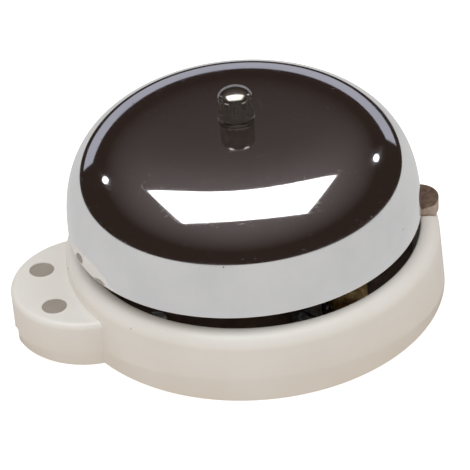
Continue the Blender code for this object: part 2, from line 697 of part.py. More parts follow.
def make_yoke():
    """The steel frame under and behind the coil, and its screws."""
    side = YOKE_WIDTH / 2
    back = YOKE_BACK_Y + YOKE_BACK_THICK
    yoke = box("magnet_yoke", (COIL_X - side, FLANGE_Y, SEATED),
               (COIL_X + side, back + YOKE_TAB, SEATED + YOKE_THICK))
    join(yoke, box("yoke_upright", (COIL_X - side, YOKE_BACK_Y, SEATED),
                   (COIL_X + side, back, COIL_Z + YOKE_RISE), CUTTERS))
    cut(yoke, rod("core_screw_hole", (COIL_X, YOKE_BACK_Y - OVERCUT, COIL_Z),
                  (COIL_X, back + OVERCUT, COIL_Z), FREE_SHANK, 12, CUTTERS))
    for number, place in enumerate(yoke_screw_places(), 1):
        name = "yoke_screw_%d" % number
        cut(yoke, hole(name, place, SEATED - OVERCUT, SEATED + YOKE_THICK + OVERCUT, FREE_SHANK))
        make_screw(name, place, SEATED + YOKE_THICK + GAP, PLATE_BOTTOM - 3 * EDGE_ROUND)
    finish(yoke, STEEL, 0.45, 1.0)


def make_core():
    """The soft-iron core and the screw that holds it to the yoke."""
    back = YOKE_BACK_Y - GAP
    core = rod("magnet_core", (COIL_X, POLE_Y, COIL_Z), (COIL_X, back, COIL_Z), CORE_RADIUS, 16)
    depth = 5 * SHANK_RADIUS
    cut(core, rod("core_bore", (COIL_X, back - depth, COIL_Z), (COIL_X, back + OVERCUT, COIL_Z),
                  FREE_SHANK, 12, CUTTERS))
    finish(core, STEEL, 0.4, 1.0)
    seat = YOKE_BACK_THICK + 2 * GAP
    profile = [(0, seat + HEAD_HEIGHT), (HEAD_RADIUS, seat + HEAD_HEIGHT), (HEAD_RADIUS, seat),
               (SHANK_RADIUS, seat), (SHANK_RADIUS, GAP - depth), (0, GAP - depth)]
    screw = turned("core_screw", profile, steps=12, at=(COIL_X, back, COIL_Z), along_y=True)
    top = back + seat + HEAD_HEIGHT
    cut(screw, box("core_screw_slot", (COIL_X - 2 * HEAD_RADIUS, top - HEAD_HEIGHT / 2,
                                       COIL_Z - SLOT_WIDTH / 2),
                   (COIL_X + 2 * HEAD_RADIUS, top + OVERCUT, COIL_Z + SLOT_WIDTH / 2), CUTTERS))
    finish(screw, STEEL, 0.35, 1.0)


def make_coil():
    """The bobbin and its winding, about the core."""
    bore = CORE_RADIUS + GAP
    tube = bore + TUBE_WALL
    end, inner = COIL_LENGTH, COIL_LENGTH - FLANGE_THICK
    profile = [(FLANGE_RADIUS, end), (FLANGE_RADIUS, inner), (tube, inner), (tube, FLANGE_THICK),
               (FLANGE_RADIUS, FLANGE_THICK), (FLANGE_RADIUS, 0), (bore, 0), (bore, end)]
    place = (COIL_X, FLANGE_Y, COIL_Z)
    bobbin = turned("coil_bobbin", profile, closed=True, steps=20, at=place, along_y=True)
    finish(bobbin, (0.75, 0.70, 0.55), 0.5)
    low, high = FLANGE_THICK + GAP, inner - GAP
    profile = [(WINDING_RADIUS, high), (WINDING_RADIUS, low), (tube + GAP, low), (tube + GAP, high)]
    winding = turned("coil_winding", profile, closed=True, steps=20, at=place, along_y=True)
    finish(winding, COPPER, 0.4, 0.6)


# ---------------------------------------------------------------- armature and hammer
def swung(point, degrees):
    """A point on the armature after it has turned about its pin."""
    angle = math.radians(degrees)
    arm = point - PIVOT
    return PIVOT + Vector((arm.x * math.cos(angle) - arm.y * math.sin(angle),
                           arm.x * math.sin(angle) + arm.y * math.cos(angle), arm.z))


def hammer_place():
    """The hammer's rest, from which the full swing ends just short of the gong."""
    limit = gong_inside(HAMMER_Z) - HAMMER_RADIUS - STRIKE_GAP
    direction = polar(1, HAMMER_ANGLE)
    reach = limit
    for _ in range(40):
        place = POST + direction * reach
        place.z = HAMMER_Z
        struck = swung(place, SWING) - POST
        reach -= math.hypot(struck.x, struck.y) - limit
    return place


def make_armature():
    """The armature bar with its knuckle on the pin and the block that holds the rod."""
    half = ARMATURE_THICK / 2
    bar = box("armature", (PIVOT.x + PIN_RADIUS + GAP, PIVOT.y - half, ARM_LOW),
              (PIVOT.x + ARMATURE_REACH, PIVOT.y + half, ARM_HIGH))
    join(bar, upright("knuckle", PIVOT, ARM_LOW, ARM_HIGH, KNUCKLE_RADIUS, 16, CUTTERS))
    join(bar, box("rod_block", (PIVOT.x - ROD_BLOCK_LENGTH, PIVOT.y - ROD_BLOCK_DEPTH / 2,
                                ARM_HIGH - ROD_BLOCK_HEIGHT),
                  (PIVOT.x - PIN_RADIUS - GAP, PIVOT.y + ROD_BLOCK_DEPTH / 2, ARM_HIGH), CUTTERS))
    cut(bar, hole("pin", PIVOT, ARM_LOW - OVERCUT, ARM_HIGH + OVERCUT, PIN_RADIUS + GAP))
    rivet_x = PIVOT.x + RIVET_REACH
    cut(bar, rod("rivet_hole", (rivet_x, PIVOT.y - 2 * half, CONTACT_Z),
                 (rivet_x, PIVOT.y + 2 * half, CONTACT_Z), RIVET_SHANK + GAP, 10, CUTTERS))
    start, end = rod_ends()
    along = (end - start).normalized()
    cut(bar, rod("rod_socket", start - along * GAP, start + along * 2 * ROD_INSERT, ROD_RADIUS + GAP, 12,
                 CUTTERS))
    finish(bar, STEEL, 0.4, 1.0)


def rod_ends():
    """The hammer rod from inside its block to the middle of the hammer."""
    root = Vector((PIVOT.x - ROD_BLOCK_LENGTH + ROD_INSERT, PIVOT.y, ROD_Z))
    return root, hammer_place()


def make_hammer():
    """The rod and the round hammer on its end."""
    start, end = rod_ends()
    finish(rod("hammer_rod", start, end, ROD_RADIUS, 12), STEEL, 0.35, 1.0)
    shape = bmesh.new()
    bmesh.ops.create_uvsphere(shape, u_segments=14, v_segments=8, radius=HAMMER_RADIUS)
    for vert in shape.verts:
        vert.co += end
    head = new_object("hammer_head", shape)
    away = (start - end).normalized()
    cut(head, rod("hammer_bore", end - away * GAP, end + away * 2 * HAMMER_RADIUS,
                  ROD_RADIUS + GAP, 12, CUTTERS))
    finish(head, BRASS, 0.3, 1.0)


def make_pivot():
    """The bracket, its screw, and the pin that the armature swings on."""
    web = WEB_Y - BRACKET_THICK
    left, right = PIVOT.x - BRACKET_HALF_WIDTH, PIVOT.x + BRACKET_HALF_WIDTH
    reach = PIVOT.y + PIN_RADIUS + LUG_THICK
    top = LUG_HIGH + LUG_THICK
    bracket = box("pivot_bracket", (left, web, SEATED), (right, WEB_Y, top))
    for name, low in (("low_lug", LUG_LOW), ("high_lug", LUG_HIGH)):
        join(bracket, box(name, (left, web + GAP, low), (right, reach, low + LUG_THICK), CUTTERS))
    join(bracket, box("bracket_foot", (left, web - BRACKET_FOOT, SEATED),
                      (right, WEB_Y - GAP, SEATED + BRACKET_THICK), CUTTERS))
    cut(bracket, hole("bracket_pin", PIVOT, LUG_LOW - OVERCUT, top + OVERCUT, PIN_RADIUS + GAP))
    place = pivot_screw_place()
    cut(bracket, hole("bracket_screw", place, SEATED - OVERCUT, SEATED + BRACKET_THICK + OVERCUT,
                      FREE_SHANK))
    finish(bracket, STEEL, 0.45, 1.0)
    make_screw("pivot_screw", place, SEATED + BRACKET_THICK + GAP, PLATE_BOTTOM - 3 * EDGE_ROUND)
    head = top + GAP
    profile = [(0, head + RIVET_HEAD_THICK), (2 * PIN_RADIUS, head + RIVET_HEAD_THICK),
               (2 * PIN_RADIUS, head), (PIN_RADIUS, head), (PIN_RADIUS, LUG_LOW - GAP),
               (0, LUG_LOW - GAP)]
    finish(turned("armature_pin", profile, steps=12, at=PIVOT), STEEL, 0.3, 1.0)


def make_return_spring():
    """A torsion spring about the pin, one leg on the armature and one by the bracket's web."""
    low = ARM_HIGH + GAP + SPRING_WIRE
    points = [PIVOT + Vector((ARMATURE_REACH / 3, ARMATURE_THICK / 2 + GAP + SPRING_WIRE,
                              ARM_HIGH - 2 * SPRING_WIRE)),
              PIVOT + Vector((SPRING_COIL + PIN_RADIUS, ARMATURE_THICK / 2 + GAP + SPRING_WIRE, low))]
    steps = 10
    for step in range(int(SPRING_TURNS * steps) + 1):
        angle = 2 * math.pi * step / steps + math.pi / 4
        rise = SPRING_PITCH * step / steps
        points.append(PIVOT + Vector((SPRING_COIL * math.cos(angle), SPRING_COIL * math.sin(angle),
                                      low + rise)))
    high = low + SPRING_PITCH * SPRING_TURNS
    points.append(PIVOT + Vector((-SPRING_COIL / 2, -BRACKET_BACK + GAP + SPRING_WIRE, high)))
    finish(wire("return_spring", points, SPRING_WIRE, smooth=False), STEEL, 0.3, 1.0)


def make_contact_spring():
    """The leaf on the armature's back that carries the moving contact, and its rivet."""
    start = PIVOT.x + LEAF_START
    leaf = box("contact_spring", (start, LEAF_Y - LEAF_THICK, CONTACT_Z - LEAF_HEIGHT / 2),
               (start + LEAF_LENGTH, LEAF_Y, CONTACT_Z + LEAF_HEIGHT / 2))
    join(leaf, rod("contact_button", (CONTACT_X, BUTTON_Y, CONTACT_Z),
                   (CONTACT_X, LEAF_Y - LEAF_THICK / 2, CONTACT_Z), BUTTON_RADIUS, 12, CUTTERS))
    rivet_x = PIVOT.x + RIVET_REACH
    cut(leaf, rod("leaf_rivet_hole", (rivet_x, LEAF_Y - 2 * LEAF_THICK, CONTACT_Z),
                  (rivet_x, LEAF_Y + LEAF_THICK, CONTACT_Z), RIVET_SHANK + GAP, 10, CUTTERS))
    finish(leaf, BRASS, 0.35, 1.0)
    back = -(LEAF_THICK + 2 * GAP + ARMATURE_THICK / 2)
    front = ARMATURE_THICK / 2 + GAP
    profile = [(0, front + RIVET_HEAD_THICK), (RIVET_HEAD, front + RIVET_HEAD_THICK), (RIVET_HEAD, front),
               (RIVET_SHANK, front), (RIVET_SHANK, back), (RIVET_HEAD, back),
               (RIVET_HEAD, back - RIVET_HEAD_THICK), (0, back - RIVET_HEAD_THICK)]
    rivet = turned("spring_rivet", profile, steps=10, at=(rivet_x, PIVOT.y, CONTACT_Z), along_y=True)
    finish(rivet, BRASS, 0.35, 1.0)


def make_contact_bracket():
    """The fixed contact: bracket, adjusting screw, lock nut and the screw in the foot."""
    near, far = CONTACT_POST_Y, CONTACT_POST_Y - BRACKET_THICK
    left, right = CONTACT_X - CONTACT_HALF_WIDTH, CONTACT_X + CONTACT_HALF_WIDTH
    bracket = box("contact_bracket", (left, far, SEATED), (right, near, CONTACT_Z + CONTACT_RISE))
    join(bracket, box("contact_foot", (left, far + GAP, SEATED),
                      (right, near + CONTACT_FOOT, SEATED + BRACKET_THICK), CUTTERS))
    cut(bracket, rod("contact_way", (CONTACT_X, far - OVERCUT, CONTACT_Z),
                     (CONTACT_X, near + OVERCUT, CONTACT_Z), CONTACT_SCREW_RADIUS + GAP, 12, CUTTERS))
    place = contact_screw_place()
    cut(bracket, hole("contact_foot_screw", place, SEATED - OVERCUT,
                      SEATED + BRACKET_THICK + OVERCUT, FREE_SHANK))
    finish(bracket, BRASS, 0.35, 1.0)
    make_screw("contact_bracket_screw", place, SEATED + BRACKET_THICK + GAP,
               PLATE_BOTTOM - 3 * EDGE_ROUND, colour=BRASS)
    tip = BUTTON_Y - GAP
    nut_back = far - GAP - LOCK_NUT_THICK
    head = nut_back - GAP - tip
    radius = CONTACT_SCREW_RADIUS
    profile = [(0, 0), (radius - EDGE_ROUND, 0), (radius, -EDGE_ROUND), (radius, head),
               (CONTACT_HEAD_RADIUS, head), (CONTACT_HEAD_RADIUS, head - CONTACT_HEAD_THICK),
               (0, head - CONTACT_HEAD_THICK)]
    screw = turned("contact_screw", profile, steps=12, at=(CONTACT_X, tip, CONTACT_Z), along_y=True)
    back = tip + head - CONTACT_HEAD_THICK
    cut(screw, box("contact_screw_slot",
                   (CONTACT_X - 2 * CONTACT_HEAD_RADIUS, back - OVERCUT, CONTACT_Z - SLOT_WIDTH / 2),
                   (CONTACT_X + 2 * CONTACT_HEAD_RADIUS, back + CONTACT_HEAD_THICK / 2,
                    CONTACT_Z + SLOT_WIDTH / 2), CUTTERS))
    finish(screw, BRASS, 0.3, 1.0)
    nut = hexagon("contact_lock_nut", (CONTACT_X, nut_back, CONTACT_Z), (CONTACT_X, far - GAP, CONTACT_Z),
                  LOCK_NUT_FLATS)
    cut(nut, rod("lock_nut_bore", (CONTACT_X, nut_back - OVERCUT, CONTACT_Z),
                 (CONTACT_X, far + OVERCUT, CONTACT_Z), CONTACT_SCREW_RADIUS + GAP, 12, CUTTERS))
    finish(nut, BRASS, 0.35, 1.0)


# ---------------------------------------------------------------- terminals and leads
def make_terminals():
    """The block in the ear with a terminal, a screw and a hole plug on each side."""
    middle = -ACCESS_REACH
    block = box("terminal_block", (middle - BLOCK_HALF_DEPTH, -BLOCK_HALF_LENGTH, FLOOR),
                (middle + BLOCK_HALF_DEPTH, BLOCK_HALF_LENGTH, BLOCK_TOP))
    for side, letter in ((1, "a"), (-1, "b")):
        y = side * ACCESS_HALF_PITCH
        tip = FLOOR + GAP
        cut(block, hole("block_" + letter, (middle, y), tip, BLOCK_TOP + OVERCUT, TERMINAL_SHANK + GAP))
        plate = box("terminal_" + letter, (middle - TERMINAL_HALF, y - TERMINAL_HALF, BLOCK_TOP + GAP),
                    (middle + TERMINAL_HALF, y + TERMINAL_HALF, TERMINAL_TOP))
        cut(plate, hole("terminal_way_" + letter, (middle, y), BLOCK_TOP, TERMINAL_TOP + OVERCUT,
                        TERMINAL_SHANK + GAP))
        finish(plate, BRASS, 0.35, 1.0)
        make_screw("terminal_screw_" + letter, (middle, y), TERMINAL_TOP + GAP, tip + GAP,
                   head=TERMINAL_HEAD_HEIGHT, head_radius=TERMINAL_HEAD_RADIUS,
                   shank_radius=TERMINAL_SHANK, colour=BRASS)
        top = EAR_HEIGHT - PLUG_SINK
        plug = upright("hole_plug_" + letter, (middle, y), top - PLUG_DEPTH, top, ACCESS_RADIUS - GAP, 20)
        finish(soften(plug, PLUG_SINK / 2), TAUPE, 0.6)
    finish(block, PHENOLIC, 0.5)


def make_leads():
    """The two leads from the terminals, and the short wire from the coil to the pivot."""
    inner = -ACCESS_REACH + BLOCK_HALF_DEPTH + GAP + LEAD_RADIUS
    under = LEAD_HEIGHT
    rise = coil_lead_place()
    behind_nut = POST.y + NUT_FLATS / math.sqrt(3) + LEAD_RADIUS + LEAD_ROOM
    coil_side = COIL_X - FLANGE_RADIUS - GAP - LEAD_RADIUS
    first = [(inner, ACCESS_HALF_PITCH, TERMINAL_TOP - TERMINAL_THICK / 2),
             (inner + 0.003, 0.006, under), (-EAR_REACH + 0.004, 0.0045, under),
             (-0.020, 0.008, under), (-0.008, behind_nut, under), (rise.x - 0.003, behind_nut, under),
             (rise.x, rise.y, under + 0.0012), (rise.x, rise.y, PLATE_TOP),
             (rise.x, rise.y - 0.001, SEATED + 0.004), (coil_side, YOKE_BACK_Y - 0.003, COIL_Z - 0.002),
             (coil_side, YOKE_BACK_Y - 0.005, COIL_Z)]
    finish(wire("lead_a", first, LEAD_RADIUS), WIRE_RED, 0.45)
    rise = contact_lead_place()
    second = [(inner, -ACCESS_HALF_PITCH, TERMINAL_TOP - TERMINAL_THICK / 2),
              (inner + 0.003, -0.006, under), (-EAR_REACH + 0.004, -0.0045, under),
              (-0.020, -0.008, under), (-0.006, -0.013, under), (0.003, rise.y + 0.004, under),
              (rise.x - 0.001, rise.y, under + 0.0008), (rise.x, rise.y, PLATE_TOP),
              (rise.x, rise.y - 0.0006, SEATED + 0.002), (rise.x, CONTACT_POST_Y - 0.0006, SEATED + 0.004)]
    finish(wire("lead_b", second, LEAD_RADIUS), WIRE_BLACK, 0.45)
    bracket = PIVOT.x - BRACKET_HALF_WIDTH - GAP - LEAD_RADIUS
    tail_y = FLANGE_Y + FLANGE_THICK + 4 * LEAD_RADIUS
    third = [(coil_side, tail_y, COIL_Z), (coil_side, tail_y, COIL_Z - 0.003),
             (coil_side - 0.001, tail_y - 0.001, SEATED + 0.003), (bracket, tail_y - 0.004, SEATED + 0.0014),
             (bracket, WEB_Y + 0.002, SEATED + 0.0014), (bracket, WEB_Y - 0.0006, SEATED + 0.003)]
    finish(wire("coil_tail", third, LEAD_RADIUS), WIRE_RED, 0.45)


# ---------------------------------------------------------------- loudness knob
def pad_radius():
    """The felt pad's radius, which brings it just short of the gong when the knob is turned in full."""
    peg = (POST - KNOB).normalized() * PEG_OFFSET
    angle = math.radians(KNOB_SWING)
    turned_peg = Vector((peg.x * math.cos(angle) - peg.y * math.sin(angle),
                         peg.x * math.sin(angle) + peg.y * math.cos(angle), 0))
    reach = (KNOB + turned_peg - POST).length
    return gong_inside(KNOB_TOP + PEG_HEIGHT) - reach - STRIKE_GAP


def make_knob():
    """The brown thumb-knob on its shaft, with the retaining clip and the felt pad on its peg."""
    radius, edge = KNOB_RADIUS, KNOB_EDGE
    groove = KNOB_SHAFT_RADIUS - CLIP_GROOVE
    groove_top = KNOB_BOSS_FOOT - GAP
    groove_low = groove_top - CLIP_THICK - 2 * GAP
    profile = [(0, KNOB_TOP - KNOB_DISH), (radius - 3 * edge, KNOB_TOP - KNOB_DISH),
               (radius - 2 * edge, KNOB_TOP), (radius - edge, KNOB_TOP), (radius, KNOB_TOP - edge),
               (radius, KNOB_BOTTOM), (KNOB_SHAFT_RADIUS, KNOB_BOTTOM), (KNOB_SHAFT_RADIUS, groove_top),
               (groove, groove_top), (groove, groove_low), (KNOB_SHAFT_RADIUS, groove_low),
               (KNOB_SHAFT_RADIUS, KNOB_SHAFT_FOOT), (0, KNOB_SHAFT_FOOT)]
    knob = turned("loudness_knob", profile, steps=24, at=KNOB)
    peg = KNOB + (POST - KNOB).normalized() * PEG_OFFSET
    join(knob, upright("knob_peg", peg, KNOB_TOP - KNOB_HEIGHT / 2, KNOB_TOP + PEG_HEIGHT, PEG_RADIUS,
                       12, CUTTERS))
    finish(knob, BROWN, 0.4)
    clip_low = groove_low + GAP
    clip = turned("knob_clip", [(CLIP_RADIUS, clip_low + CLIP_THICK), (CLIP_RADIUS, clip_low),
                                (groove + GAP, clip_low), (groove + GAP, clip_low + CLIP_THICK)],
                  closed=True, steps=16, at=KNOB)
    cut(clip, box("clip_mouth", (KNOB.x - 2 * CLIP_RADIUS, KNOB.y - groove, clip_low - OVERCUT),
                  (KNOB.x, KNOB.y + groove, clip_low + CLIP_THICK + OVERCUT), CUTTERS))
    finish(clip, STEEL, 0.35, 1.0)
    top = KNOB_TOP + PEG_HEIGHT - GAP
    low = top - PAD_LENGTH
    outer, inner = pad_radius(), PEG_RADIUS + GAP
    pad = turned("damper_pad", [(outer, top), (outer, low), (inner, low), (inner, top)],
                 closed=True, steps=16, at=(peg.x, peg.y, 0))
    finish(pad, FELT, 0.95)


def main():
    """Build the bell from its base up."""
    make_housing()
    make_base_plate()
    make_mechanism_plate()
    make_post()
    make_washer("gong_seat_washer", CROWN_Z - GONG_WALL - GAP - SEAT_WASHER_THICK, SEAT_WASHER_THICK,
                SEAT_WASHER_RADIUS, FIBRE, 0.7, 0.0)
    make_gong()
    make_washer("gong_top_washer", CROWN_Z + GAP, TOP_WASHER_THICK, TOP_WASHER_RADIUS, NICKEL, 0.2, 1.0)
    make_cap_nut()
    make_yoke()
    make_core()
    make_coil()
    make_armature()
    make_hammer()
    make_pivot()
    make_return_spring()
    make_contact_spring()
    make_contact_bracket()
    make_terminals()
    make_leads()
    make_knob()


clear_scene()
BELL = make_collection("service_bell")
CUTTERS = make_collection("cutters")
main()
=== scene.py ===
"""Looks of the under-dome service bell: chromed gong, cream moulded base, cap nut, knob and works.

Every size is in metres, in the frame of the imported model: origin at the centre of the round base on
its underside, +Z up, the ear towards -X.
"""
import math

import bpy
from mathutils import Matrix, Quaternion, Vector


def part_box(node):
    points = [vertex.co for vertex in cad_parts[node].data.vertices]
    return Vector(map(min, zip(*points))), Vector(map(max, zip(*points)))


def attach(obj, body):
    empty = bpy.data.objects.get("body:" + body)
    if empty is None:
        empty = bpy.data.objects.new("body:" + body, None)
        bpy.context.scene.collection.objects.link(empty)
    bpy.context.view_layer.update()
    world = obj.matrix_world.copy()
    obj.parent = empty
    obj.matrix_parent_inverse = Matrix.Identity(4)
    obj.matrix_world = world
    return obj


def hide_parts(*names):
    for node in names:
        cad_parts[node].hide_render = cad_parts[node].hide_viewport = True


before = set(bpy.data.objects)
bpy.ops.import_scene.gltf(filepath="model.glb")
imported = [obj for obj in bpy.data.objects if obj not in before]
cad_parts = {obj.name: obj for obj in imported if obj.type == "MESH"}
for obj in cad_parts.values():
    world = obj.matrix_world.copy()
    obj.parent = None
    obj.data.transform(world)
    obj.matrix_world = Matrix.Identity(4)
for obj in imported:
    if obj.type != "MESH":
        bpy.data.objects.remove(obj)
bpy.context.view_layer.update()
bpy.ops.object.select_all(action="DESELECT")

# ---------------------------------------------------------------- camera
CAMERA_AZIMUTH = math.radians(-11.5)
CAMERA_ELEVATION = math.radians(35.687)
CAMERA_DISTANCE = 0.71711
CAMERA_LENS = 239.05
AIM_YAW, AIM_PITCH, AIM_ROLL = (math.radians(a) for a in (0.3168, 0.9547, -4.6714))

back = Vector((math.sin(CAMERA_AZIMUTH) * math.cos(CAMERA_ELEVATION),
               -math.cos(CAMERA_AZIMUTH) * math.cos(CAMERA_ELEVATION), math.sin(CAMERA_ELEVATION)))
bpy.ops.object.camera_add(location=back * CAMERA_DISTANCE)
camera = bpy.context.active_object
camera.name = "camera"
camera.data.lens = CAMERA_LENS
camera.data.sensor_width = 36
camera.rotation_mode = "QUATERNION"
camera.rotation_quaternion = ((-back).to_track_quat("-Z", "Y") @ Quaternion((0, 1, 0), AIM_YAW)
                              @ Quaternion((1, 0, 0), AIM_PITCH) @ Quaternion((0, 0, 1), AIM_ROLL))
camera.data.clip_start, camera.data.clip_end = 0.01, 20
scene = bpy.context.scene
scene.camera = camera
scene.view_settings.view_transform = "Standard"


# ---------------------------------------------------------------- modelling by hand
def edit():
    bpy.ops.object.mode_set(mode="EDIT")


def leave():
    bpy.ops.object.mode_set(mode="OBJECT")


def alone(piece):
    """Select one piece and make it active."""
    bpy.ops.object.select_all(action="DESELECT")
    piece.select_set(True)
    bpy.context.view_layer.objects.active = piece


def settle(piece, name):
    """Put a piece's place into its mesh and name it."""
    alone(piece)
    bpy.ops.object.transform_apply(location=True, rotation=True, scale=True)
    piece.name = name
    piece.data.name = name
    return piece


def spun(name, outline, at=(0, 0, 0), steps=96, along_y=False, closed=False):
    """Draw an outline of (radius, height) points from one corner, then spin it round its axis."""
    at = Vector(at)
    axis = Vector((0, 1, 0)) if along_y else Vector((0, 0, 1))
    places = [at + Vector((radius, 0, 0)) + axis * height for radius, height in outline]
    bpy.ops.object.select_all(action="DESELECT")
    bpy.ops.mesh.primitive_circle_add(vertices=3, radius=0.001, location=places[0], enter_editmode=True)
    bpy.ops.mesh.merge(type="CENTER")
    for here, there in zip(places, places[1:]):
        bpy.ops.mesh.extrude_vertices_move(TRANSFORM_OT_translate={"value": there - here})
    if closed:
        bpy.ops.mesh.select_all(action="DESELECT")
        leave()
        verts = bpy.context.active_object.data.vertices
        verts[0].select = verts[len(places) - 1].select = True
        edit()
        bpy.ops.mesh.edge_face_add()
    bpy.ops.mesh.select_all(action="SELECT")
    bpy.ops.mesh.spin(steps=steps, angle=2 * math.pi, center=at, axis=axis)
    bpy.ops.mesh.select_all(action="SELECT")
    bpy.ops.mesh.remove_doubles(threshold=0.000002)
    bpy.ops.mesh.normals_make_consistent(inside=False)
    leave()
    return settle(bpy.context.active_object, name)


def bar(name, low, high):
    """A squared block between two corners."""
    low, high = Vector(low), Vector(high)
    bpy.ops.object.select_all(action="DESELECT")
    bpy.ops.mesh.primitive_cube_add(size=1, location=(low + high) / 2)
    piece = bpy.context.active_object
    piece.scale = high - low
    return settle(piece, name)


def prism(name, at, low, high, flats, sides=6, turn=0.0, along_y=False):
    """A bar with flat sides, measured across its flats, between two heights on its axis."""
    at = Vector(at)
    axis = Vector((0, 1, 0)) if along_y else Vector((0, 0, 1))
    tilt = (-math.pi / 2, 0, 0) if along_y else (0, 0, turn)
    bpy.ops.object.select_all(action="DESELECT")
    bpy.ops.mesh.primitive_cylinder_add(vertices=sides, radius=flats / 2 / math.cos(math.pi / sides),
                                        depth=high - low, location=at + axis * (low + high) / 2,
                                        rotation=tilt)
    return settle(bpy.context.active_object, name)


def finish_with(piece, kind, **settings):
    """Add a modifier, set it and apply it."""
    alone(piece)
    step = piece.modifiers.new(kind.title(), kind)
    for key, value in settings.items():
        setattr(step, key, value)
    bpy.ops.object.modifier_apply(modifier=step.name)
    return piece


def worked(piece, tool, operation="DIFFERENCE"):
    """Cut or join a piece with a tool, which is used up."""
    finish_with(piece, "BOOLEAN", operation=operation, solver="EXACT", object=tool)
    bpy.data.objects.remove(tool, do_unlink=True)
    return piece


def drill(piece, at, low, high, radius, flare=0.0, steps=48, along_y=False):
    """Bore a round hole; a flare breaks its edge at the high end."""
    outline = [(0, low), (radius, low), (radius, high)]
    if flare:
        outline = [(0, low), (radius, low), (radius, high - flare), (radius + 3 * flare, high + 2 * flare)]
    outline.append((0, outline[-1][1]))
    return worked(piece, spun("drill", outline, at, steps, along_y))


def eased(piece, width, segments=2, angle=35):
    """Take the sharpness off a piece's edges."""
    return finish_with(piece, "BEVEL", width=width, segments=segments, limit_method="ANGLE",
                       angle_limit=math.radians(angle), harden_normals=False)


def smooth(piece, angle=32):
    alone(piece)
    bpy.ops.object.shade_smooth_by_angle(angle=math.radians(angle))
    return piece


def from_frame(node, name, ease=0.0, rounds=0, angle=35):
    """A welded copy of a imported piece, with its edges eased or its shape rounded."""
    bpy.ops.object.select_all(action="DESELECT")
    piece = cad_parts[node].copy()
    piece.data = piece.data.copy()
    piece.parent = None
    bpy.context.scene.collection.objects.link(piece)
    for key in [key for key in piece.keys() if key.startswith("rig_")]:
        del piece[key]
    alone(piece)
    edit()
    bpy.ops.mesh.select_all(action="SELECT")
    bpy.ops.mesh.remove_doubles(threshold=0.000002)
    if ease:
        bpy.ops.mesh.dissolve_limited(angle_limit=math.radians(1))
    leave()
    settle(piece, name)
    if ease:
        eased(piece, ease, 2, angle)
    if rounds:
        finish_with(piece, "SUBSURF", levels=rounds, render_levels=rounds)
    return smooth(piece)


def fit(piece, nodes, body, material):
    """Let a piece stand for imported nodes, ride on their body and take a finish."""
    piece.data.materials.clear()
    piece.data.materials.append(material)
    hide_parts(*([nodes] if isinstance(nodes, str) else nodes))
    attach(piece, body)
    return piece


# ---------------------------------------------------------------- finishes
def linear(red, green, blue):
    """A colour from its 0-255 values."""
    return tuple((c / 255 / 12.92 if c <= 10 else ((c / 255 + 0.055) / 1.055) ** 2.4)
                 for c in (red, green, blue)) + (1.0,)


class Finish:
    """A node material whose pattern lies in the piece's own space."""

    def __init__(self, name, metallic=0.0, specular=0.5):
        self.material = bpy.data.materials.new(name)
        self.material.use_nodes = True
        self.tree = self.material.node_tree
        self.shader = self.tree.nodes["Principled BSDF"]
        self.shader.inputs["Metallic"].default_value = metallic
        self.shader.inputs["Specular IOR Level"].default_value = specular
        self.place = self.tree.nodes.new("ShaderNodeTexCoord").outputs["Object"]

    def node(self, kind, **settings):
        node = self.tree.nodes.new(kind)
        for key, value in settings.items():
            setattr(node, key, value)
        return node

    def link(self, source, target):
        self.tree.links.new(source, target)

    def stretched(self, scale, turn=(0, 0, 0)):
        mapping = self.node("ShaderNodeMapping")
        mapping.inputs["Scale"].default_value = scale
        mapping.inputs["Rotation"].default_value = turn
        self.link(self.place, mapping.inputs["Vector"])
        return mapping.outputs["Vector"]

    def noise(self, scale, detail=4.0, rough=0.55, where=None, lacunarity=2.0):
        noise = self.node("ShaderNodeTexNoise")
        noise.inputs["Scale"].default_value = scale
        noise.inputs["Detail"].default_value = detail
        noise.inputs["Roughness"].default_value = rough
        noise.inputs["Lacunarity"].default_value = lacunarity
        self.link(where or self.place, noise.inputs["Vector"])
        return noise.outputs["Fac"]

    def cells(self, scale, where=None):
        cells = self.node("ShaderNodeTexVoronoi")
        cells.inputs["Scale"].default_value = scale
        self.link(where or self.place, cells.inputs["Vector"])
        return cells.outputs["Distance"]

    def ramp(self, factor, low, high, to_low=0.0, to_high=1.0):
        ranged = self.node("ShaderNodeMapRange")
        for key, value in (("From Min", low), ("From Max", high), ("To Min", to_low), ("To Max", to_high)):
            ranged.inputs[key].default_value = value
        self.link(factor, ranged.inputs["Value"])
        return ranged.outputs["Result"]

    def blend(self, factor, first, second):
        mix = self.node("ShaderNodeMix", data_type="RGBA")
        for socket, value in ((mix.inputs[6], first), (mix.inputs[7], second)):
            if isinstance(value, tuple):
                socket.default_value = value
            else:
                self.link(value, socket)
        self.link(factor, mix.inputs[0])
        return mix.outputs[2]

    def sum(self, first, second, operation="ADD"):
        math_node = self.node("ShaderNodeMath", operation=operation)
        for socket, value in zip(math_node.inputs, (first, second)):
            if isinstance(value, (int, float)):
                socket.default_value = value
            else:
                self.link(value, socket)
        return math_node.outputs[0]

    def part_of_place(self, axis):
        split = self.node("ShaderNodeSeparateXYZ")
        self.link(self.place, split.inputs[0])
        return split.outputs[axis]

    def colour(self, source):
        self.link(source, self.shader.inputs["Base Color"])

    def roughness(self, source):
        self.link(source, self.shader.inputs["Roughness"])

    def relief(self, height, strength, depth=0.0001):
        bump = self.node("ShaderNodeBump")
        bump.inputs["Strength"].default_value = strength
        bump.inputs["Distance"].default_value = depth
        self.link(height, bump.inputs["Height"])
        self.link(bump.outputs["Normal"], self.shader.inputs["Normal"])


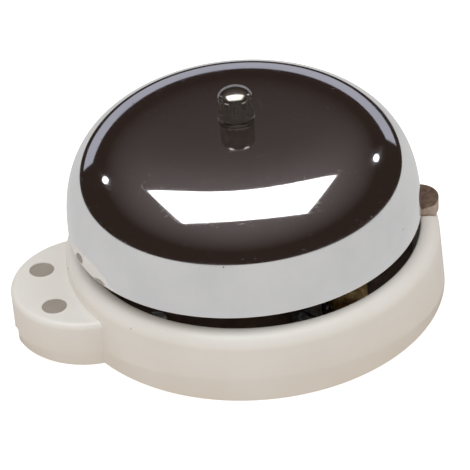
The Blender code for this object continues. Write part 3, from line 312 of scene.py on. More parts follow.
def plain_finish(name, light, dark, rough, metallic=0.0, patch=220.0, grain=2600.0, relief=0.12, spread=0.08,
                 specular=0.5):
    """A finish with soft patches of colour, a fine grain and uneven gloss."""
    finish = Finish(name, metallic, specular)
    patches = finish.noise(patch, 5)
    fine = finish.noise(grain, 3, 0.6)
    finish.colour(finish.blend(finish.ramp(patches, 0.35, 0.7), light, dark))
    finish.roughness(finish.ramp(finish.sum(patches, fine), 0.7, 1.3, rough - spread, rough + spread))
    finish.relief(fine, relief, 0.00005)
    return finish.material


def brushed_finish(name, light, dark, rough, scratch=(3000, 3000, 300), relief=0.1):
    """A metal with fine drawn lines, patches of tarnish and uneven gloss."""
    finish = Finish(name, 1.0)
    lines = finish.noise(1.0, 3, 0.65, finish.stretched(scratch))
    patches = finish.noise(420, 4)
    finish.colour(finish.blend(finish.ramp(patches, 0.38, 0.68), light, dark))
    finish.roughness(finish.ramp(finish.sum(lines, patches), 0.75, 1.25, rough * 0.75, rough * 1.4))
    finish.relief(lines, relief, 0.00003)
    return finish.material


def chrome_finish():
    """Bright plating with hairline scratches, a faint haze and a few dull specks."""
    finish = Finish("bright_chrome_plate", 1.0)
    haze = finish.noise(70, 4)
    hairs = finish.noise(1.0, 2, 0.7, finish.stretched((260, 2600, 600), (0.3, 0.2, 0.9)))
    crossed = finish.noise(1.0, 2, 0.7, finish.stretched((2300, 200, 500), (0.1, -0.3, 0.4)))
    scratched = finish.sum(finish.ramp(hairs, 0.66, 0.72), finish.ramp(crossed, 0.68, 0.74), "MAXIMUM")
    specks = finish.ramp(finish.cells(420), 0.05, 0.09, 1.0, 0.0)
    sparse = finish.ramp(finish.noise(95, 2), 0.60, 0.64)
    dull = finish.sum(specks, sparse, "MULTIPLY")
    dust = finish.sum(finish.ramp(finish.cells(900), 0.05, 0.10, 1.0, 0.0),
                      finish.ramp(finish.noise(160, 2), 0.60, 0.66), "MULTIPLY")
    bright = finish.blend(finish.ramp(haze, 0.35, 0.7), (0.90, 0.89, 0.885, 1), (0.83, 0.82, 0.82, 1))
    finish.colour(finish.blend(dull, bright, (0.30, 0.27, 0.25, 1)))
    worn = finish.sum(finish.ramp(haze, 0.3, 0.75, 0.05, 0.095), finish.ramp(scratched, 0, 1, 0, 0.16))
    worn = finish.sum(worn, finish.ramp(dust, 0, 1, 0, 0.22))
    finish.roughness(finish.sum(worn, finish.ramp(dull, 0, 1, 0, 0.3)))
    finish.relief(scratched, 0.05, 0.00002)
    return finish.material


def cream_finish():
    """Cream moulding with rubbed patches and a few dark specks; low down its walls are painted darker and
    warmer, as painted shade on the side walls.
    """
    finish = Finish("cream_moulding", 0.0, 0.45)
    patches = finish.noise(55, 5)
    fine = finish.noise(1500, 3, 0.6)
    # painted shade: below the ear's top height the walls are coloured darker and warmer than the top faces
    painted_wall_shade = finish.ramp(finish.part_of_place("Z"), 0.0, 0.011, 1.0, 0.0)
    body = finish.blend(finish.ramp(patches, 0.35, 0.7), linear(236, 233, 228), linear(231, 227, 220))
    # the body with the painted wall shade blended in, patchy where the tone patches fall
    body_with_painted_wall_shade = finish.blend(finish.ramp(finish.sum(painted_wall_shade, patches, "MULTIPLY"), 0.0, 0.7), body,
                        linear(228, 219, 206))
    specks = finish.ramp(finish.cells(330), 0.06, 0.11, 1.0, 0.0)
    sparse = finish.ramp(finish.noise(120, 2), 0.63, 0.67)
    finish.colour(finish.blend(finish.sum(specks, sparse, "MULTIPLY"), body_with_painted_wall_shade, linear(150, 132, 110)))
    finish.roughness(finish.ramp(finish.sum(patches, fine), 0.7, 1.3, 0.30, 0.48))
    finish.relief(fine, 0.10, 0.00006)
    return finish.material


def knob_finish():
    """Brown moulding with a mottled top; its top is painted darker and its side paler, as painted reflection
    and shade on one brown moulding.
    """
    finish = Finish("brown_moulding", 0.0, 0.4)
    patches, fine = finish.noise(700, 5, 0.65), finish.noise(2600, 3)
    # painted reflection: the top's dark browns stand for the dark room that the top face mirrors
    top = finish.blend(finish.ramp(patches, 0.4, 0.65), linear(120, 96, 80), linear(84, 63, 52))
    # painted reflection: the side's pale browns stand for the pale table that the side mirrors
    side = finish.blend(finish.ramp(patches, 0.4, 0.65), linear(188, 172, 158), linear(168, 150, 136))
    height = finish.sum(finish.part_of_place("Z"), finish.ramp(patches, 0.3, 0.7, -0.0002, 0.0002))
    # painted light: the top face above its rounded edge takes the dark colours, and the side below it takes
    # the pale ones
    finish.colour(finish.blend(finish.ramp(height, 0.0178, 0.0182), side, top))
    finish.roughness(finish.ramp(finish.sum(patches, fine), 0.7, 1.3, 0.35, 0.55))
    finish.relief(fine, 0.2, 0.00005)
    return finish.material


CREAM = cream_finish()
CHROME = chrome_finish()
NICKEL = brushed_finish("nickel_plate", (0.66, 0.64, 0.58, 1), (0.47, 0.45, 0.40, 1), 0.16)
BROWN = knob_finish()
TAUPE = plain_finish("taupe_plug", linear(163, 154, 143), linear(154, 145, 134), 0.6, specular=0.3)
LAMINATE = plain_finish("dark_laminate", (0.16, 0.105, 0.075, 1), (0.105, 0.068, 0.048, 1), 0.5)
STEEL = brushed_finish("bright_steel", (0.56, 0.56, 0.56, 1), (0.36, 0.35, 0.33, 1), 0.3)
IRON = brushed_finish("soft_iron", (0.42, 0.41, 0.40, 1), (0.25, 0.23, 0.21, 1), 0.42)
BRASS = brushed_finish("brass", (0.78, 0.58, 0.28, 1), (0.55, 0.38, 0.16, 1), 0.28)
COPPER = brushed_finish("enamelled_copper", (0.62, 0.22, 0.10, 1), (0.42, 0.13, 0.06, 1), 0.3)
BOBBIN = plain_finish("bobbin_moulding", (0.66, 0.60, 0.46, 1), (0.55, 0.49, 0.36, 1), 0.45)
FIBRE = plain_finish("red_fibre", (0.36, 0.085, 0.055, 1), (0.24, 0.055, 0.035, 1), 0.7, relief=0.3)
FELT = plain_finish("felt", (0.11, 0.21, 0.14, 1), (0.06, 0.13, 0.085, 1), 0.93, grain=5200, relief=0.9,
                    specular=0.1)
LEAD_RED = plain_finish("lead_red", (0.42, 0.035, 0.025, 1), (0.30, 0.022, 0.016, 1), 0.42)
LEAD_BLACK = plain_finish("lead_black", (0.022, 0.022, 0.022, 1), (0.012, 0.012, 0.012, 1), 0.42)

FINISHES = {"cream_moulding": CREAM, "dark_laminate": LAMINATE, "chromed_gong": CHROME,
            "nickel_plate": NICKEL, "bright_steel": STEEL, "soft_iron": IRON, "brass": BRASS,
            "copper_winding": COPPER, "bobbin_moulding": BOBBIN, "red_fibre": FIBRE,
            "brown_moulding": BROWN, "taupe_plug": TAUPE, "felt": FELT, "lead_red": LEAD_RED,
            "lead_black": LEAD_BLACK}

# ---------------------------------------------------------------- sizes
mm = 0.001
GONG_R, GONG_H, GONG_WALL = 40.0 * mm, 25.7 * mm, 1.2 * mm
SKIRT_PEAK, SIDE_POWER, CROWN_POWER = 26.7 * mm, 3.39, 2.735
CROWN_SHARE, CROWN_FALL = 0.795, 0.8 * mm
RIM_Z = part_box("gong")[0].z
CROWN_Z = RIM_Z + GONG_H
POST = Vector((-1.4 * mm, 0, 0))
STUD_WAY = 2.3 * mm
BASE_R, BASE_H, EAR_CUT_R = 43.2 * mm, 16.4 * mm, 41.8 * mm
CHAMBER_R, INNER_R = 40.4 * mm, 38.2 * mm
SHOULDER_W, SHOULDER_DROP, LIP, EDGE = 4.0 * mm, 3.4 * mm, 2.8 * mm, 0.4 * mm
EAR, EAR_R, EAR_H, EAR_EDGE, EAR_WALL = Vector((-38.6 * mm, 0, 0)), 17.6 * mm, 11.0 * mm, 1.4 * mm, 2.2 * mm
NOTCH_W, NOTCH_H = 5.0 * mm, 2.8 * mm
ACCESS_X, ACCESS_Y, ACCESS_R = -47.8 * mm, 7.4 * mm, 2.8 * mm
KNOB_REACH, KNOB_ANGLE = 38.3 * mm, math.radians(-5.7)
KNOB = Vector((math.cos(KNOB_ANGLE), math.sin(KNOB_ANGLE), 0)) * KNOB_REACH
PLATE_BOSSES, COVER_BOSSES = (25, 120, 215), (75, 150, 330)     # degrees round the wall
BOSS_REACH, BOSS_R, BOSS_FOOT, BOSS_BORE = 33.0 * mm, 3.2 * mm, 2.3 * mm, 1.6 * mm
SCREW_HEAD_R, SCREW_HEAD_H, SCREW_SHANK_R = 2.5 * mm, 1.6 * mm, 1.3 * mm
ROD_ROOT_X, ROD_ROOT_Y = 2.5 * mm, -22.0 * mm


def gong_height(radius):
    """Height of the shell's outside above its rim: a steep skirt that runs into a flatter crown."""
    def skirt(share):
        return SKIRT_PEAK * (1 - share ** SIDE_POWER) ** (1 / CROWN_POWER)

    share = min(radius / GONG_R, 1.0)
    if share > CROWN_SHARE:
        return skirt(share)
    edge, filled = skirt(CROWN_SHARE), CROWN_SHARE ** SIDE_POWER
    fall = edge / (1 - filled) * filled * SIDE_POWER / CROWN_POWER
    bend = GONG_H - CROWN_FALL - edge
    inward = share / CROWN_SHARE
    return GONG_H - CROWN_FALL * inward ** 2 - bend * inward ** ((fall - 2 * CROWN_FALL) / bend)


def make_gong():
    """The thin chromed shell, its rim rolled to a soft edge, with a hole for the stud."""
    half = GONG_WALL / 2
    lift = half * 1.4
    fine = [GONG_R * math.sin(math.pi / 2 * step / 4000) for step in range(4001)]
    outline, last = [], None
    for radius in fine:
        height = RIM_Z + gong_height(radius)
        if radius < STUD_WAY + 0.15 * mm or height < RIM_Z + lift:
            continue
        if last is None or math.hypot(radius - last[0], height - last[1]) > 0.5 * mm:
            last = (radius, height)
            outline.append(last)
    inside = []
    for (r0, z0), (r1, z1), (r2, z2) in zip(outline, outline[1:], outline[2:]):
        along = Vector((r2 - r0, z2 - z0)).normalized()
        inside.append((r1 + along.y * GONG_WALL, z1 - along.x * GONG_WALL))
    inside = [p for p in inside if p[0] > STUD_WAY + 0.4 * mm]
    centre = ((outline[-1][0] + inside[-1][0]) / 2, RIM_Z + half)
    rim = [(centre[0] + half * math.cos(a), centre[1] - half * math.sin(a))
           for a in (math.pi * step / 10 for step in range(11))]
    foot = CROWN_Z - GONG_WALL
    outline = ([(STUD_WAY, foot + 0.15 * mm), (STUD_WAY, CROWN_Z - 0.15 * mm)] + outline + rim
               + inside[::-1] + [(STUD_WAY + 0.15 * mm, foot)])
    gong = spun("chromed_shell", outline, POST, 224, closed=True)
    smooth(gong, 40)
    return fit(gong, "gong", "base", CHROME)


def arc(centre, radius_x, radius_z, start, stop, count):
    """Points on a quarter or half round."""
    return [(centre[0] + radius_x * math.cos(math.radians(start + (stop - start) * s / count)),
             centre[1] + radius_z * math.sin(math.radians(start + (stop - start) * s / count)))
            for s in range(count + 1)]


def pillar(radius, low, high):
    """Outline of a plain round bar."""
    return [(0, low), (radius, low), (radius, high), (0, high)]


def make_housing():
    """The cream moulding: turned wall and shoulder, ear, bosses, knob seat, holes and cable notch."""
    ledge = BASE_H - SHOULDER_DROP - 0.6 * mm
    outline = arc((INNER_R + EDGE, BASE_H - SHOULDER_DROP), SHOULDER_W, SHOULDER_DROP, 90, 0, 14)
    outline += [(BASE_R, 0.3 * mm), (BASE_R - 0.3 * mm, 0), (BASE_R - 0.3 * mm, -1 * mm),
                (CHAMBER_R, -1 * mm), (CHAMBER_R, ledge), (INNER_R, BASE_H - LIP)]
    outline += arc((INNER_R + EDGE, BASE_H - EDGE), EDGE, EDGE, 180, 100, 4)
    housing = spun("cream_base", outline, steps=240, closed=True)
    ear_side = [(0, -2 * mm), (EAR_R - 0.3 * mm, -2 * mm), (EAR_R - 0.3 * mm, 0), (EAR_R, 0.3 * mm)]
    ear_edge = arc((EAR_R - EAR_EDGE, EAR_H - EAR_EDGE), EAR_EDGE, EAR_EDGE, 0, 90, 8)
    ear = spun("ear", ear_side + ear_edge + [(0, EAR_H)], EAR, 160)
    worked(ear, spun("core", pillar(EAR_CUT_R, -3 * mm, BASE_H), steps=240))
    worked(housing, ear, "UNION")
    chamber_top = EAR_H - EAR_WALL
    drill(housing, EAR, -3 * mm, chamber_top, EAR_R - EAR_WALL, steps=120)
    worked(housing, bar("under", (-0.1, -0.1, -4 * mm), (0.1, 0.1, 0)))
    for angles, top, bore_foot, bore_top in ((PLATE_BOSSES, 7.0 * mm, 2.6 * mm, 8.0 * mm),
                                             (COVER_BOSSES, 6.7 * mm, 1.3 * mm, 5.9 * mm)):
        for angle in angles:
            turn = math.radians(angle)
            centre = Vector((math.cos(turn), math.sin(turn), 0)) * BOSS_REACH
            rib = bar("rib", (BOSS_REACH, -1.3 * mm, 2.7 * mm), (CHAMBER_R + 1 * mm, 1.3 * mm, top - EDGE))
            rib.rotation_euler = (0, 0, turn)
            settle(rib, "rib")
            worked(housing, rib, "UNION")
            worked(housing, spun("boss", pillar(BOSS_R, BOSS_FOOT, top), centre, 48), "UNION")
            drill(housing, centre, bore_foot, bore_top, BOSS_BORE)
    worked(housing, spun("knob_boss", pillar(3.75 * mm, 5.5 * mm, 14.9 * mm), KNOB, 64), "UNION")
    drill(housing, KNOB, -1 * mm, 5.9 * mm, 3.3 * mm)
    drill(housing, KNOB, 4.5 * mm, 17.4 * mm, 2.3 * mm)
    drill(housing, KNOB, 14.6 * mm, 17.4 * mm, 5.3 * mm, steps=96)
    for side in (-1, 1):
        drill(housing, (ACCESS_X, side * ACCESS_Y, 0), chamber_top - 1 * mm, EAR_H, ACCESS_R, 0.12 * mm, 64)
    tip = EAR.x - EAR_R
    notch_low, notch_high = (tip - 1 * mm, -NOTCH_W / 2, -1 * mm), (tip + 2 * EAR_WALL, NOTCH_W / 2, NOTCH_H)
    worked(housing, bar("notch", notch_low, notch_high))
    smooth(housing, 30)
    return fit(housing, "base_housing", "base", CREAM)


def make_cap_nut():
    """The six-sided cap nut with a turned crown, screwed down on its thin washer."""
    seat = CROWN_Z + 0.02 * mm
    washer_top = seat + 0.4 * mm
    bottom, side, height, flats = washer_top + 0.03 * mm, 5.3 * mm, 7.3 * mm, 7.0 * mm
    corner = 7.66 * mm / 2
    outline = [(corner * math.sin(math.pi / 2 * step / 16),
                bottom + side + (height - side) * math.cos(math.pi / 2 * step / 16)) for step in range(17)]
    outline += [(corner, bottom + 0.5 * mm), (corner - 0.35 * mm, bottom + 0.12 * mm),
                (corner - 0.5 * mm, bottom), (0, bottom)]
    nut = spun("cap_nut_domed", outline, POST, 120)
    worked(nut, prism("six_flats", POST, bottom - 1 * mm, bottom + height + 1 * mm, flats,
                      turn=math.radians(18.5)), "INTERSECT")
    drill(nut, POST, bottom - 1 * mm, bottom + side, STUD_WAY)
    eased(nut, 0.07 * mm, 2, 20)
    smooth(nut, 40)
    finish_with(nut, "WEIGHTED_NORMAL", keep_sharp=True, weight=90)
    fit(nut, "cap_nut", "base", NICKEL)
    washer = spun("crown_washer", [(STUD_WAY, seat), (STUD_WAY, washer_top), (4.0 * mm, washer_top),
                                   (4.1 * mm, washer_top - 0.12 * mm), (4.1 * mm, seat + 0.12 * mm),
                                   (4.0 * mm, seat)], POST, 96, closed=True)
    smooth(washer, 30)
    fit(washer, "gong_top_washer", "base", NICKEL)


def make_knob():
    """The brown thumb-knob with a dished top, its shaft, groove and peg."""
    low, top = 14.9 * mm, 18.7 * mm
    outline = [(0, top - 0.16 * mm), (1.5 * mm, top - 0.14 * mm), (2.8 * mm, top - 0.07 * mm),
               (3.8 * mm, top)]
    outline += arc((4.4 * mm, top - 0.45 * mm), 0.45 * mm, 0.45 * mm, 90, 0, 6)
    outline += [(4.75 * mm, low + 0.15 * mm), (4.6 * mm, low), (2.0 * mm, low), (2.0 * mm, 5.2 * mm),
                (1.5 * mm, 5.2 * mm), (1.5 * mm, 4.0 * mm), (2.0 * mm, 4.0 * mm), (2.0 * mm, 3.6 * mm),
                (1.8 * mm, 3.4 * mm), (0, 3.4 * mm)]
    knob = spun("thumb_knob", outline, KNOB, 96)
    peg = KNOB + (POST - KNOB).normalized() * 4.0 * mm
    peg_outline = [(0, 16.8 * mm), (0.7 * mm, 16.8 * mm), (0.7 * mm, 25.1 * mm), (0.5 * mm, 25.3 * mm),
                   (0, 25.3 * mm)]
    worked(knob, spun("peg", peg_outline, peg, 32), "UNION")
    smooth(knob, 32)
    fit(knob, "loudness_knob", "knob", BROWN)
    low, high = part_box("damper_pad")
    centre, radius = (low + high) / 2, (high.x - low.x) / 2
    soft = 0.25 * mm
    pad = spun("felt_pad", [(1.0 * mm, high.z)] + arc((radius - soft, high.z - soft), soft, soft, 90, 0, 4)
               + arc((radius - soft, low.z + soft), soft, soft, 0, -90, 4) + [(1.0 * mm, low.z)],
               (centre.x, centre.y, 0), 40, closed=True)
    smooth(pad, 50)
    fit(pad, "damper_pad", "knob", FELT)


def make_plugs():
    """The flat plugs in the two access holes of the ear."""
    for letter, side in (("a", 1), ("b", -1)):
        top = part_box("hole_plug_" + letter)[1].z
        outline = [(0, top - 1.8 * mm), (2.5 * mm, top - 1.8 * mm), (2.77 * mm, top - 1.5 * mm),
                   (2.77 * mm, top - 0.05 * mm), (2.72 * mm, top), (0, top)]
        plug = spun("ear_plug_" + letter, outline, (ACCESS_X, side * ACCESS_Y, 0), 64)
        smooth(plug, 30)
        fit(plug, "hole_plug_" + letter, "base", TAUPE)


# ---------------------------------------------------------------- screws, nuts and the works
def middle(node):
    low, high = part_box(node)
    return (low + high) / 2


def on_axis(place, along_y=False):
    """A place moved down its own axis to height nought."""
    return Vector((place[0], 0, place[2])) if along_y else Vector((place[0], place[1], 0))


def threaded(radius, start, stop, pitch=0.5 * mm):
    """Outline points of a screw thread from one height down to another."""
    turns = max(1, int(abs(start - stop) / pitch))
    step = (stop - start) / turns
    points = []
    for turn in range(turns):
        points += [(radius, start + step * turn), (radius - 0.16 * mm, start + step * (turn + 0.5))]
    return points + [(radius, stop)]


def make_screw(node, body, slot, head_r, shank_r, head, headed="top", along_y=False):
    """A slotted cheese-head screw with an eased head and a real thread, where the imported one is."""
    low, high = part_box(node)
    at = on_axis((low + high) / 2, along_y)
    first, last = (low.y, high.y) if along_y else (low.z, high.z)
    up = headed == "top"
    top, tip = (last, first) if up else (first, last)
    sign = 1 if up else -1
    soft = min(0.3 * mm, head * 0.35)
    under = top - sign * head
    outline = [(0, top), (head_r - soft * 1.6, top), (head_r - soft * 0.5, top - sign * soft * 0.35),
               (head_r, top - sign * soft), (head_r, under + sign * 0.08 * mm), (head_r - 0.08 * mm, under)]
    outline += threaded(shank_r, under, tip + sign * 0.4 * mm) + [(shank_r - 0.35 * mm, tip), (0, tip)]
    screw = spun(node + "_turned", outline, at, 48, along_y)
    deep, half = head * 0.55, 0.32 * mm
    across = bar("slot", (-2 * head_r, -half, -deep), (2 * head_r, half, 1 * mm))
    if along_y:
        across.rotation_euler = (-math.pi / 2 if up else math.pi / 2, 0.5, 0)
        across.location = (at.x, top, at.z)
    else:
        across.rotation_euler = (0 if up else math.pi, 0, 0.7 + at.x * 300)
        across.location = (at.x, at.y, top)
    settle(across, "slot")
    worked(screw, across)
    smooth(screw, 30)
    return fit(screw, node, body, FINISHES[slot])


def turned_for(node, body, slot, outline, steps=64, along_y=False, closed=False, at=None):
    """A turned piece about the middle of a packed one."""
    at = on_axis(at if at is not None else middle(node), along_y)
    piece = spun(node + "_turned", outline, at, steps, along_y, closed)
    smooth(piece, 32)
    return fit(piece, node, body, FINISHES[slot])


def chamfered(radius, low, high, ease):
    """Outline of a round bar with broken edges."""
    return [(0, high), (radius - ease, high), (radius, high - ease),
            (radius, low + ease), (radius - ease, low), (0, low)]


def ring(inner, outer, low, high, ease):
    """Outline of a flat ring with broken edges."""
    return [(inner, low + ease), (inner, high - ease), (inner + ease, high), (outer - ease, high),
            (outer, high - ease), (outer, low + ease), (outer - ease, low), (inner + ease, low)]


def make_post():
    """The pillar with a thread at each end, and the fibre washer that the shell sits on."""
    low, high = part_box("gong_post")
    shoulder = CROWN_Z - GONG_WALL - 1.4 * mm
    outline = [(0, high.z), (1.7 * mm, high.z)] + threaded(2.0 * mm, high.z - 0.3 * mm, shoulder)
    outline += [(4.1 * mm, shoulder), (4.5 * mm, shoulder - 0.4 * mm),
                (4.5 * mm, 9.5 * mm), (4.1 * mm, 9.1 * mm)]
    outline += threaded(2.0 * mm, 9.1 * mm, low.z + 0.3 * mm) + [(1.7 * mm, low.z), (0, low.z)]
    turned_for("gong_post", "base", "bright_steel", outline, 96)
    low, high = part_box("gong_seat_washer")
    outline = ring(STUD_WAY, 6.0 * mm, low.z, high.z, 0.08 * mm)
    turned_for("gong_seat_washer", "base", "red_fibre", outline, 96, closed=True)


def make_nuts():
    """The nut at the post's foot and the contact screw's lock nut."""
    for node, slot, flats, bore, along_y in (("post_nut", "bright_steel", 7.0 * mm, STUD_WAY, False),
                                             ("contact_lock_nut", "brass", 4.8 * mm, 1.5 * mm, True)):
        low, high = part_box(node)
        at = on_axis(middle(node), along_y)
        first, last = (low.y, high.y) if along_y else (low.z, high.z)
        corner = flats / math.sqrt(3)
        crest = 0.28 * (corner - flats / 2) + 0.1 * mm
        outline = [(0, last), (corner - 2 * crest, last), (corner, last - crest),
                   (corner, first + crest), (corner - 2 * crest, first), (0, first)]
        nut = spun(node + "_worked", outline, at, 72, along_y)
        worked(nut, prism("flats", at, first - 1 * mm, last + 1 * mm, flats, along_y=along_y), "INTERSECT")
        drill(nut, at, first - 1 * mm, last + 1 * mm, bore, along_y=along_y)
        eased(nut, 0.06 * mm, 2, 25)
        smooth(nut, 40)
        finish_with(nut, "WEIGHTED_NORMAL", keep_sharp=True, weight=90)
        fit(nut, node, "base", FINISHES[slot])


def make_magnet():
    """Core, bobbin and the winding, whose turns of wire lie side by side."""
    at = middle("magnet_core")
    low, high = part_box("magnet_core")
    turned_for("magnet_core", "base", "soft_iron", chamfered(3.0 * mm, low.y, high.y, 0.25 * mm), 64, True)
    low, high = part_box("coil_bobbin")
    bore, tube, flange, wall, ease = 3.3 * mm, 4.0 * mm, 7.5 * mm, 1.0 * mm, 0.15 * mm
    outline = [(flange, high.y - ease), (flange, high.y - wall + ease), (flange - ease, high.y - wall),
               (tube, high.y - wall), (tube, low.y + wall), (flange - ease, low.y + wall),
               (flange, low.y + wall - ease), (flange, low.y + ease), (flange - ease, low.y),
               (bore + ease, low.y), (bore, low.y + ease), (bore, high.y - ease), (bore + ease, high.y),
               (flange - ease, high.y)]
    turned_for("coil_bobbin", "base", "bobbin_moulding", outline, 96, True, True, at)
    low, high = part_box("coil_winding")
    turns = 42
    gauge = (high.y - low.y) / turns
    outline = [(4.3 * mm, low.y)]
    for turn in range(turns):
        for part in (0.04, 0.25, 0.5, 0.75, 0.96):
            swell = math.sin(math.pi * part) * gauge * 0.42
            outline.append((6.42 * mm + swell, low.y + gauge * (turn + part)))
    outline.append((4.3 * mm, high.y))
    turned_for("coil_winding", "base", "copper_winding", outline, 72, True, True, at)


def make_striker():
    """The brass hammer on its rod, the armature's pin and the spring's rivet."""
    at = middle("hammer_head")
    low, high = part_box("hammer_head")
    radius = (high.z - low.z) / 2
    outline = [(radius * math.sin(math.pi * step / 32), at.z + radius * math.cos(math.pi * step / 32))
               for step in range(33)]
    head = spun("hammer_ball", outline, (at.x, at.y, 0), 64)
    root = Vector((ROD_ROOT_X, ROD_ROOT_Y, middle("hammer_rod").z * 2 - at.z))
    away = (root - at).normalized()
    outline = [(0, -4.9 * mm), (1.5 * mm, -4.9 * mm), (1.7 * mm, -4.7 * mm), (1.9 * mm, -3.0 * mm),
               (0, -3.0 * mm)]
    collar = spun("collar", outline, steps=48)
    collar.rotation_mode = "QUATERNION"
    collar.rotation_quaternion = (-away).to_track_quat("Z", "Y")
    collar.location = at
    settle(collar, "collar")
    worked(head, collar, "UNION")
    smooth(head, 35)
    fit(head, "hammer_head", "hammer_arm", BRASS)
    length = (root - at).length
    rod = spun("hammer_wire", chamfered(0.8 * mm, 0, length - 1 * mm, 0.15 * mm), steps=32)
    rod.rotation_mode = "QUATERNION"
    rod.rotation_quaternion = away.to_track_quat("Z", "Y")
    rod.location = at
    settle(rod, "hammer_wire")
    smooth(rod, 35)
    fit(rod, "hammer_rod", "hammer_arm", STEEL)
    low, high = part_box("armature_pin")
    head = 0.4 * mm
    turned_for("armature_pin", "base", "bright_steel",
               [(0, high.z), (1.9 * mm, high.z), (2.4 * mm, high.z - 0.2 * mm), (2.4 * mm, high.z - head),
                (1.2 * mm, high.z - head), (1.2 * mm, low.z + 0.2 * mm), (1.0 * mm, low.z), (0, low.z)], 48)
    low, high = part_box("spring_rivet")
    at = middle("spring_rivet")
    turned_for("spring_rivet", "hammer_arm", "brass",
               [(0, high.y), (0.8 * mm, high.y - 0.06 * mm), (1.2 * mm, high.y - 0.28 * mm),
                (1.2 * mm, high.y - head), (0.7 * mm, high.y - head), (0.7 * mm, low.y + head),
                (1.2 * mm, low.y + head),
                (1.2 * mm, low.y + 0.28 * mm), (0.8 * mm, low.y + 0.06 * mm), (0, low.y)], 40, True, at=at)


def make_works():
    """Plates, frames and brackets of the works, with eased edges, and the wires."""
    for node, body, slot, ease in (
            ("base_plate", "base", "dark_laminate", 0.12), ("mechanism_plate", "base", "dark_laminate", 0.10),
            ("magnet_yoke", "base", "bright_steel", 0.22), ("pivot_bracket", "base", "bright_steel", 0.14),
            ("contact_bracket", "base", "brass", 0.14), ("terminal_block", "base", "dark_laminate", 0.2),
            ("terminal_a", "base", "brass", 0.1), ("terminal_b", "base", "brass", 0.1),
            ("armature", "hammer_arm", "soft_iron", 0.12), ("contact_spring", "hammer_arm", "brass", 0.05),
            ("knob_clip", "knob", "bright_steel", 0.06)):
        fit(from_frame(node, node + "_eased", ease * mm), node, body, FINISHES[slot])
    for node, body, slot in (("lead_a", "base", "lead_red"), ("lead_b", "base", "lead_black"),
                             ("coil_tail", "base", "lead_red"),
                             ("return_spring", "hammer_arm", "bright_steel")):
        fit(from_frame(node, node + "_round", rounds=1), node, body, FINISHES[slot])


def make_screws():
    """Every slotted screw, each where the frame has it."""
    usual = (SCREW_HEAD_R, SCREW_SHANK_R, SCREW_HEAD_H)
    for node in ("plate_screw_1", "plate_screw_2", "plate_screw_3", "yoke_screw_1", "yoke_screw_2",
                 "pivot_screw"):
        make_screw(node, "base", "bright_steel", *usual)
    make_screw("contact_bracket_screw", "base", "brass", *usual)
    for node in ("terminal_screw_a", "terminal_screw_b"):
        make_screw(node, "base", "brass", 2.0 * mm, 1.1 * mm, 1.2 * mm)
    for node in ("cover_screw_1", "cover_screw_2", "cover_screw_3"):
        make_screw(node, "base", "bright_steel", SCREW_HEAD_R, SCREW_SHANK_R, 0.7 * mm, headed="foot")
    make_screw("core_screw", "base", "bright_steel", *usual, along_y=True)
    make_screw("contact_screw", "base", "brass", 2.0 * mm, 1.2 * mm, 1.3 * mm, headed="foot", along_y=True)


# ---------------------------------------------------------------- stage
def glow(name, colour, strength=1.0):
    material = bpy.data.materials.new(name)
    material.use_nodes = True
    tree = material.node_tree
    tree.nodes.clear()
    light = tree.nodes.new("ShaderNodeEmission")
    light.inputs["Color"].default_value = colour
    light.inputs["Strength"].default_value = strength
    tree.links.new(light.outputs[0], tree.nodes.new("ShaderNodeOutputMaterial").inputs[0])
    return material


def mirrored_only(obj):
    """A card or wall that the polished parts see, and nothing else."""
    obj.visible_camera = obj.visible_diffuse = obj.visible_shadow = False
    obj.visible_transmission = obj.visible_volume_scatter = False
    return obj


def aim(azimuth, elevation, distance):
    """A point round the bell, with azimuth 0 towards the camera and positive to its right."""
    a, e = math.radians(azimuth) + CAMERA_AZIMUTH, math.radians(elevation)
    return Vector((math.sin(a) * math.cos(e), -math.cos(a) * math.cos(e), math.sin(e))) * distance


MIDDLE = Vector((0, 0, 36 * mm))


def make_floor():
    """The white table, a hair under the base and seen only from above."""
    bpy.ops.mesh.primitive_plane_add(size=6, location=(0, 0, -0.05 * mm))
    floor = bpy.context.active_object
    floor.name = "floor"
    material = bpy.data.materials.new("pale_floor")
    material.use_nodes = True
    shader = material.node_tree.nodes["Principled BSDF"]
    shader.inputs["Base Color"].default_value = (0.92, 0.92, 0.92, 1)
    shader.inputs["Roughness"].default_value = 0.9
    shader.inputs["Specular IOR Level"].default_value = 0.0
    shader.inputs["Emission Color"].default_value = (1, 1, 1, 1)
    shader.inputs["Emission Strength"].default_value = 0.55
    tree = material.node_tree
    output = [n for n in tree.nodes if n.type == "OUTPUT_MATERIAL"][0]
    side = tree.nodes.new("ShaderNodeNewGeometry")
    clear = tree.nodes.new("ShaderNodeBsdfTransparent")
    either = tree.nodes.new("ShaderNodeMixShader")
    tree.links.new(side.outputs["Backfacing"], either.inputs[0])
    tree.links.new(shader.outputs[0], either.inputs[1])
    tree.links.new(clear.outputs[0], either.inputs[2])
    tree.links.new(either.outputs[0], output.inputs[0])
    floor.data.materials.append(material)
    floor.visible_glossy = floor.visible_diffuse = False


WALL, CEILING = linear(46, 36, 32), linear(104, 96, 96)
TABLE_WHITE, BACKDROP = linear(205, 205, 205), linear(165, 166, 178)
SHEET_RISE = math.radians(8)
BACKDROP_WIDTH, BACKDROP_HEIGHT, BACKDROP_DISTANCE = 4.0, 0.6, 2.2
ROOM_RADIUS, TABLE_RADIUS = 3.0, 2.5
SOFTBOX_WIDTH, SOFTBOX_DEPTH, SOFTBOX_HEIGHT = 1.9, 1.2, 1.5


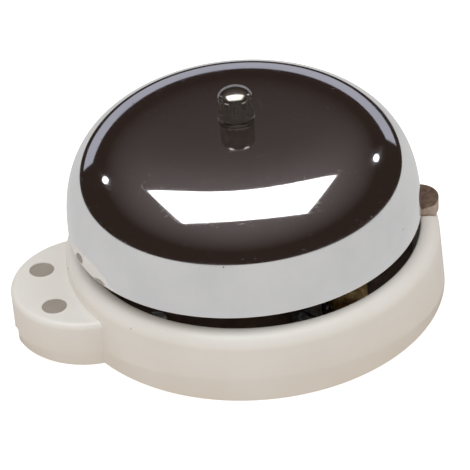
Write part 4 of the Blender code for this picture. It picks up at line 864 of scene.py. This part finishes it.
def make_room():
    """A plain dark studio: one wall colour that grows a little paler towards the ceiling."""
    bpy.ops.mesh.primitive_uv_sphere_add(segments=64, ring_count=32, radius=ROOM_RADIUS, location=MIDDLE)
    room = bpy.context.active_object
    room.name = "room"
    finish = Finish("room_walls")
    finish.tree.nodes.remove(finish.shader)
    height = finish.ramp(finish.part_of_place("Z"), 0.4 * ROOM_RADIUS, ROOM_RADIUS)
    light = finish.node("ShaderNodeEmission")
    finish.link(finish.blend(height, WALL, CEILING), light.inputs["Color"])
    output = [n for n in finish.tree.nodes if n.type == "OUTPUT_MATERIAL"][0]
    finish.link(light.outputs[0], output.inputs[0])
    room.data.materials.append(finish.material)
    mirrored_only(room)


def make_sweep():
    """The white sheet that the polish sees, which rises a little to the front, and a pale backdrop."""
    bpy.ops.mesh.primitive_circle_add(vertices=96, radius=TABLE_RADIUS, fill_type="NGON",
                                      location=(0, 0, -0.1 * mm))
    sheet = bpy.context.active_object
    sheet.name = "table_sheet"
    sheet.rotation_euler = (-SHEET_RISE, 0, CAMERA_AZIMUTH)
    sheet.data.materials.append(glow("table_white", TABLE_WHITE))
    mirrored_only(sheet)
    place = aim(180, 0, BACKDROP_DISTANCE)
    bpy.ops.mesh.primitive_plane_add(size=1, location=(place.x, place.y, BACKDROP_HEIGHT / 2))
    backdrop = bpy.context.active_object
    backdrop.name = "backdrop"
    backdrop.scale = (BACKDROP_WIDTH, BACKDROP_HEIGHT, 1)
    backdrop.rotation_euler = (math.pi / 2, 0, CAMERA_AZIMUTH)
    backdrop.data.materials.append(glow("backdrop_paint", BACKDROP))
    mirrored_only(backdrop)


def make_softbox():
    """One rectangular softbox overhead."""
    bpy.ops.mesh.primitive_plane_add(size=1, location=(0, 0, SOFTBOX_HEIGHT))
    softbox = bpy.context.active_object
    softbox.name = "softbox"
    softbox.scale = (SOFTBOX_WIDTH, SOFTBOX_DEPTH, 1)
    softbox.rotation_euler.z = CAMERA_AZIMUTH
    softbox.data.materials.append(glow("softbox_face", (1, 1, 1, 1), 2.2))
    mirrored_only(softbox)


def make_lamps():
    """A small round lamp on each side, whose glints show on the plating."""
    for side in (-1, 1):
        bpy.ops.mesh.primitive_ico_sphere_add(subdivisions=3, radius=0.08,
                                              location=MIDDLE + aim(side * 125, 25, 2.0))
        lamp = bpy.context.active_object
        lamp.name = "lamp_left" if side < 0 else "lamp_right"
        lamp.data.materials.append(glow(lamp.name + "_glow", (0.92, 0.95, 1, 1), 5.0))
        mirrored_only(lamp)


SKY_COLOUR, SKY_STRENGTH, LIGHT_COLOUR = (1.0, 0.93, 0.87, 1), 0.70, (0.80, 0.92, 1.0)


def make_lights():
    """A warm even sky, and a large soft key and fill overhead."""
    world = bpy.data.worlds.new("soft_sky")
    scene.world = world
    world.use_nodes = True
    world.node_tree.nodes["Background"].inputs["Color"].default_value = SKY_COLOUR
    world.node_tree.nodes["Background"].inputs["Strength"].default_value = SKY_STRENGTH
    for name, azimuth, elevation, size, power in (("key", -25, 74, 0.9, 5.2), ("fill", 70, 60, 0.9, 0.8)):
        bpy.ops.object.light_add(type="AREA", location=MIDDLE + aim(azimuth, elevation, 1.2))
        lamp = bpy.context.active_object
        lamp.name = name
        lamp.data.shape = "DISK"
        lamp.data.size = size
        lamp.data.energy = power
        lamp.data.color = LIGHT_COLOUR
        lamp.rotation_mode = "QUATERNION"
        lamp.rotation_quaternion = (MIDDLE - lamp.location).to_track_quat("-Z", "Y")
        lamp.visible_glossy = False
        lamp.visible_camera = False


make_floor()
make_room()
make_sweep()
make_softbox()
make_lamps()
make_lights()
make_gong()
make_housing()
make_cap_nut()
make_knob()
make_plugs()
make_post()
make_nuts()
make_magnet()
make_striker()
make_works()
make_screws()

bpy.ops.object.select_all(action="DESELECT")
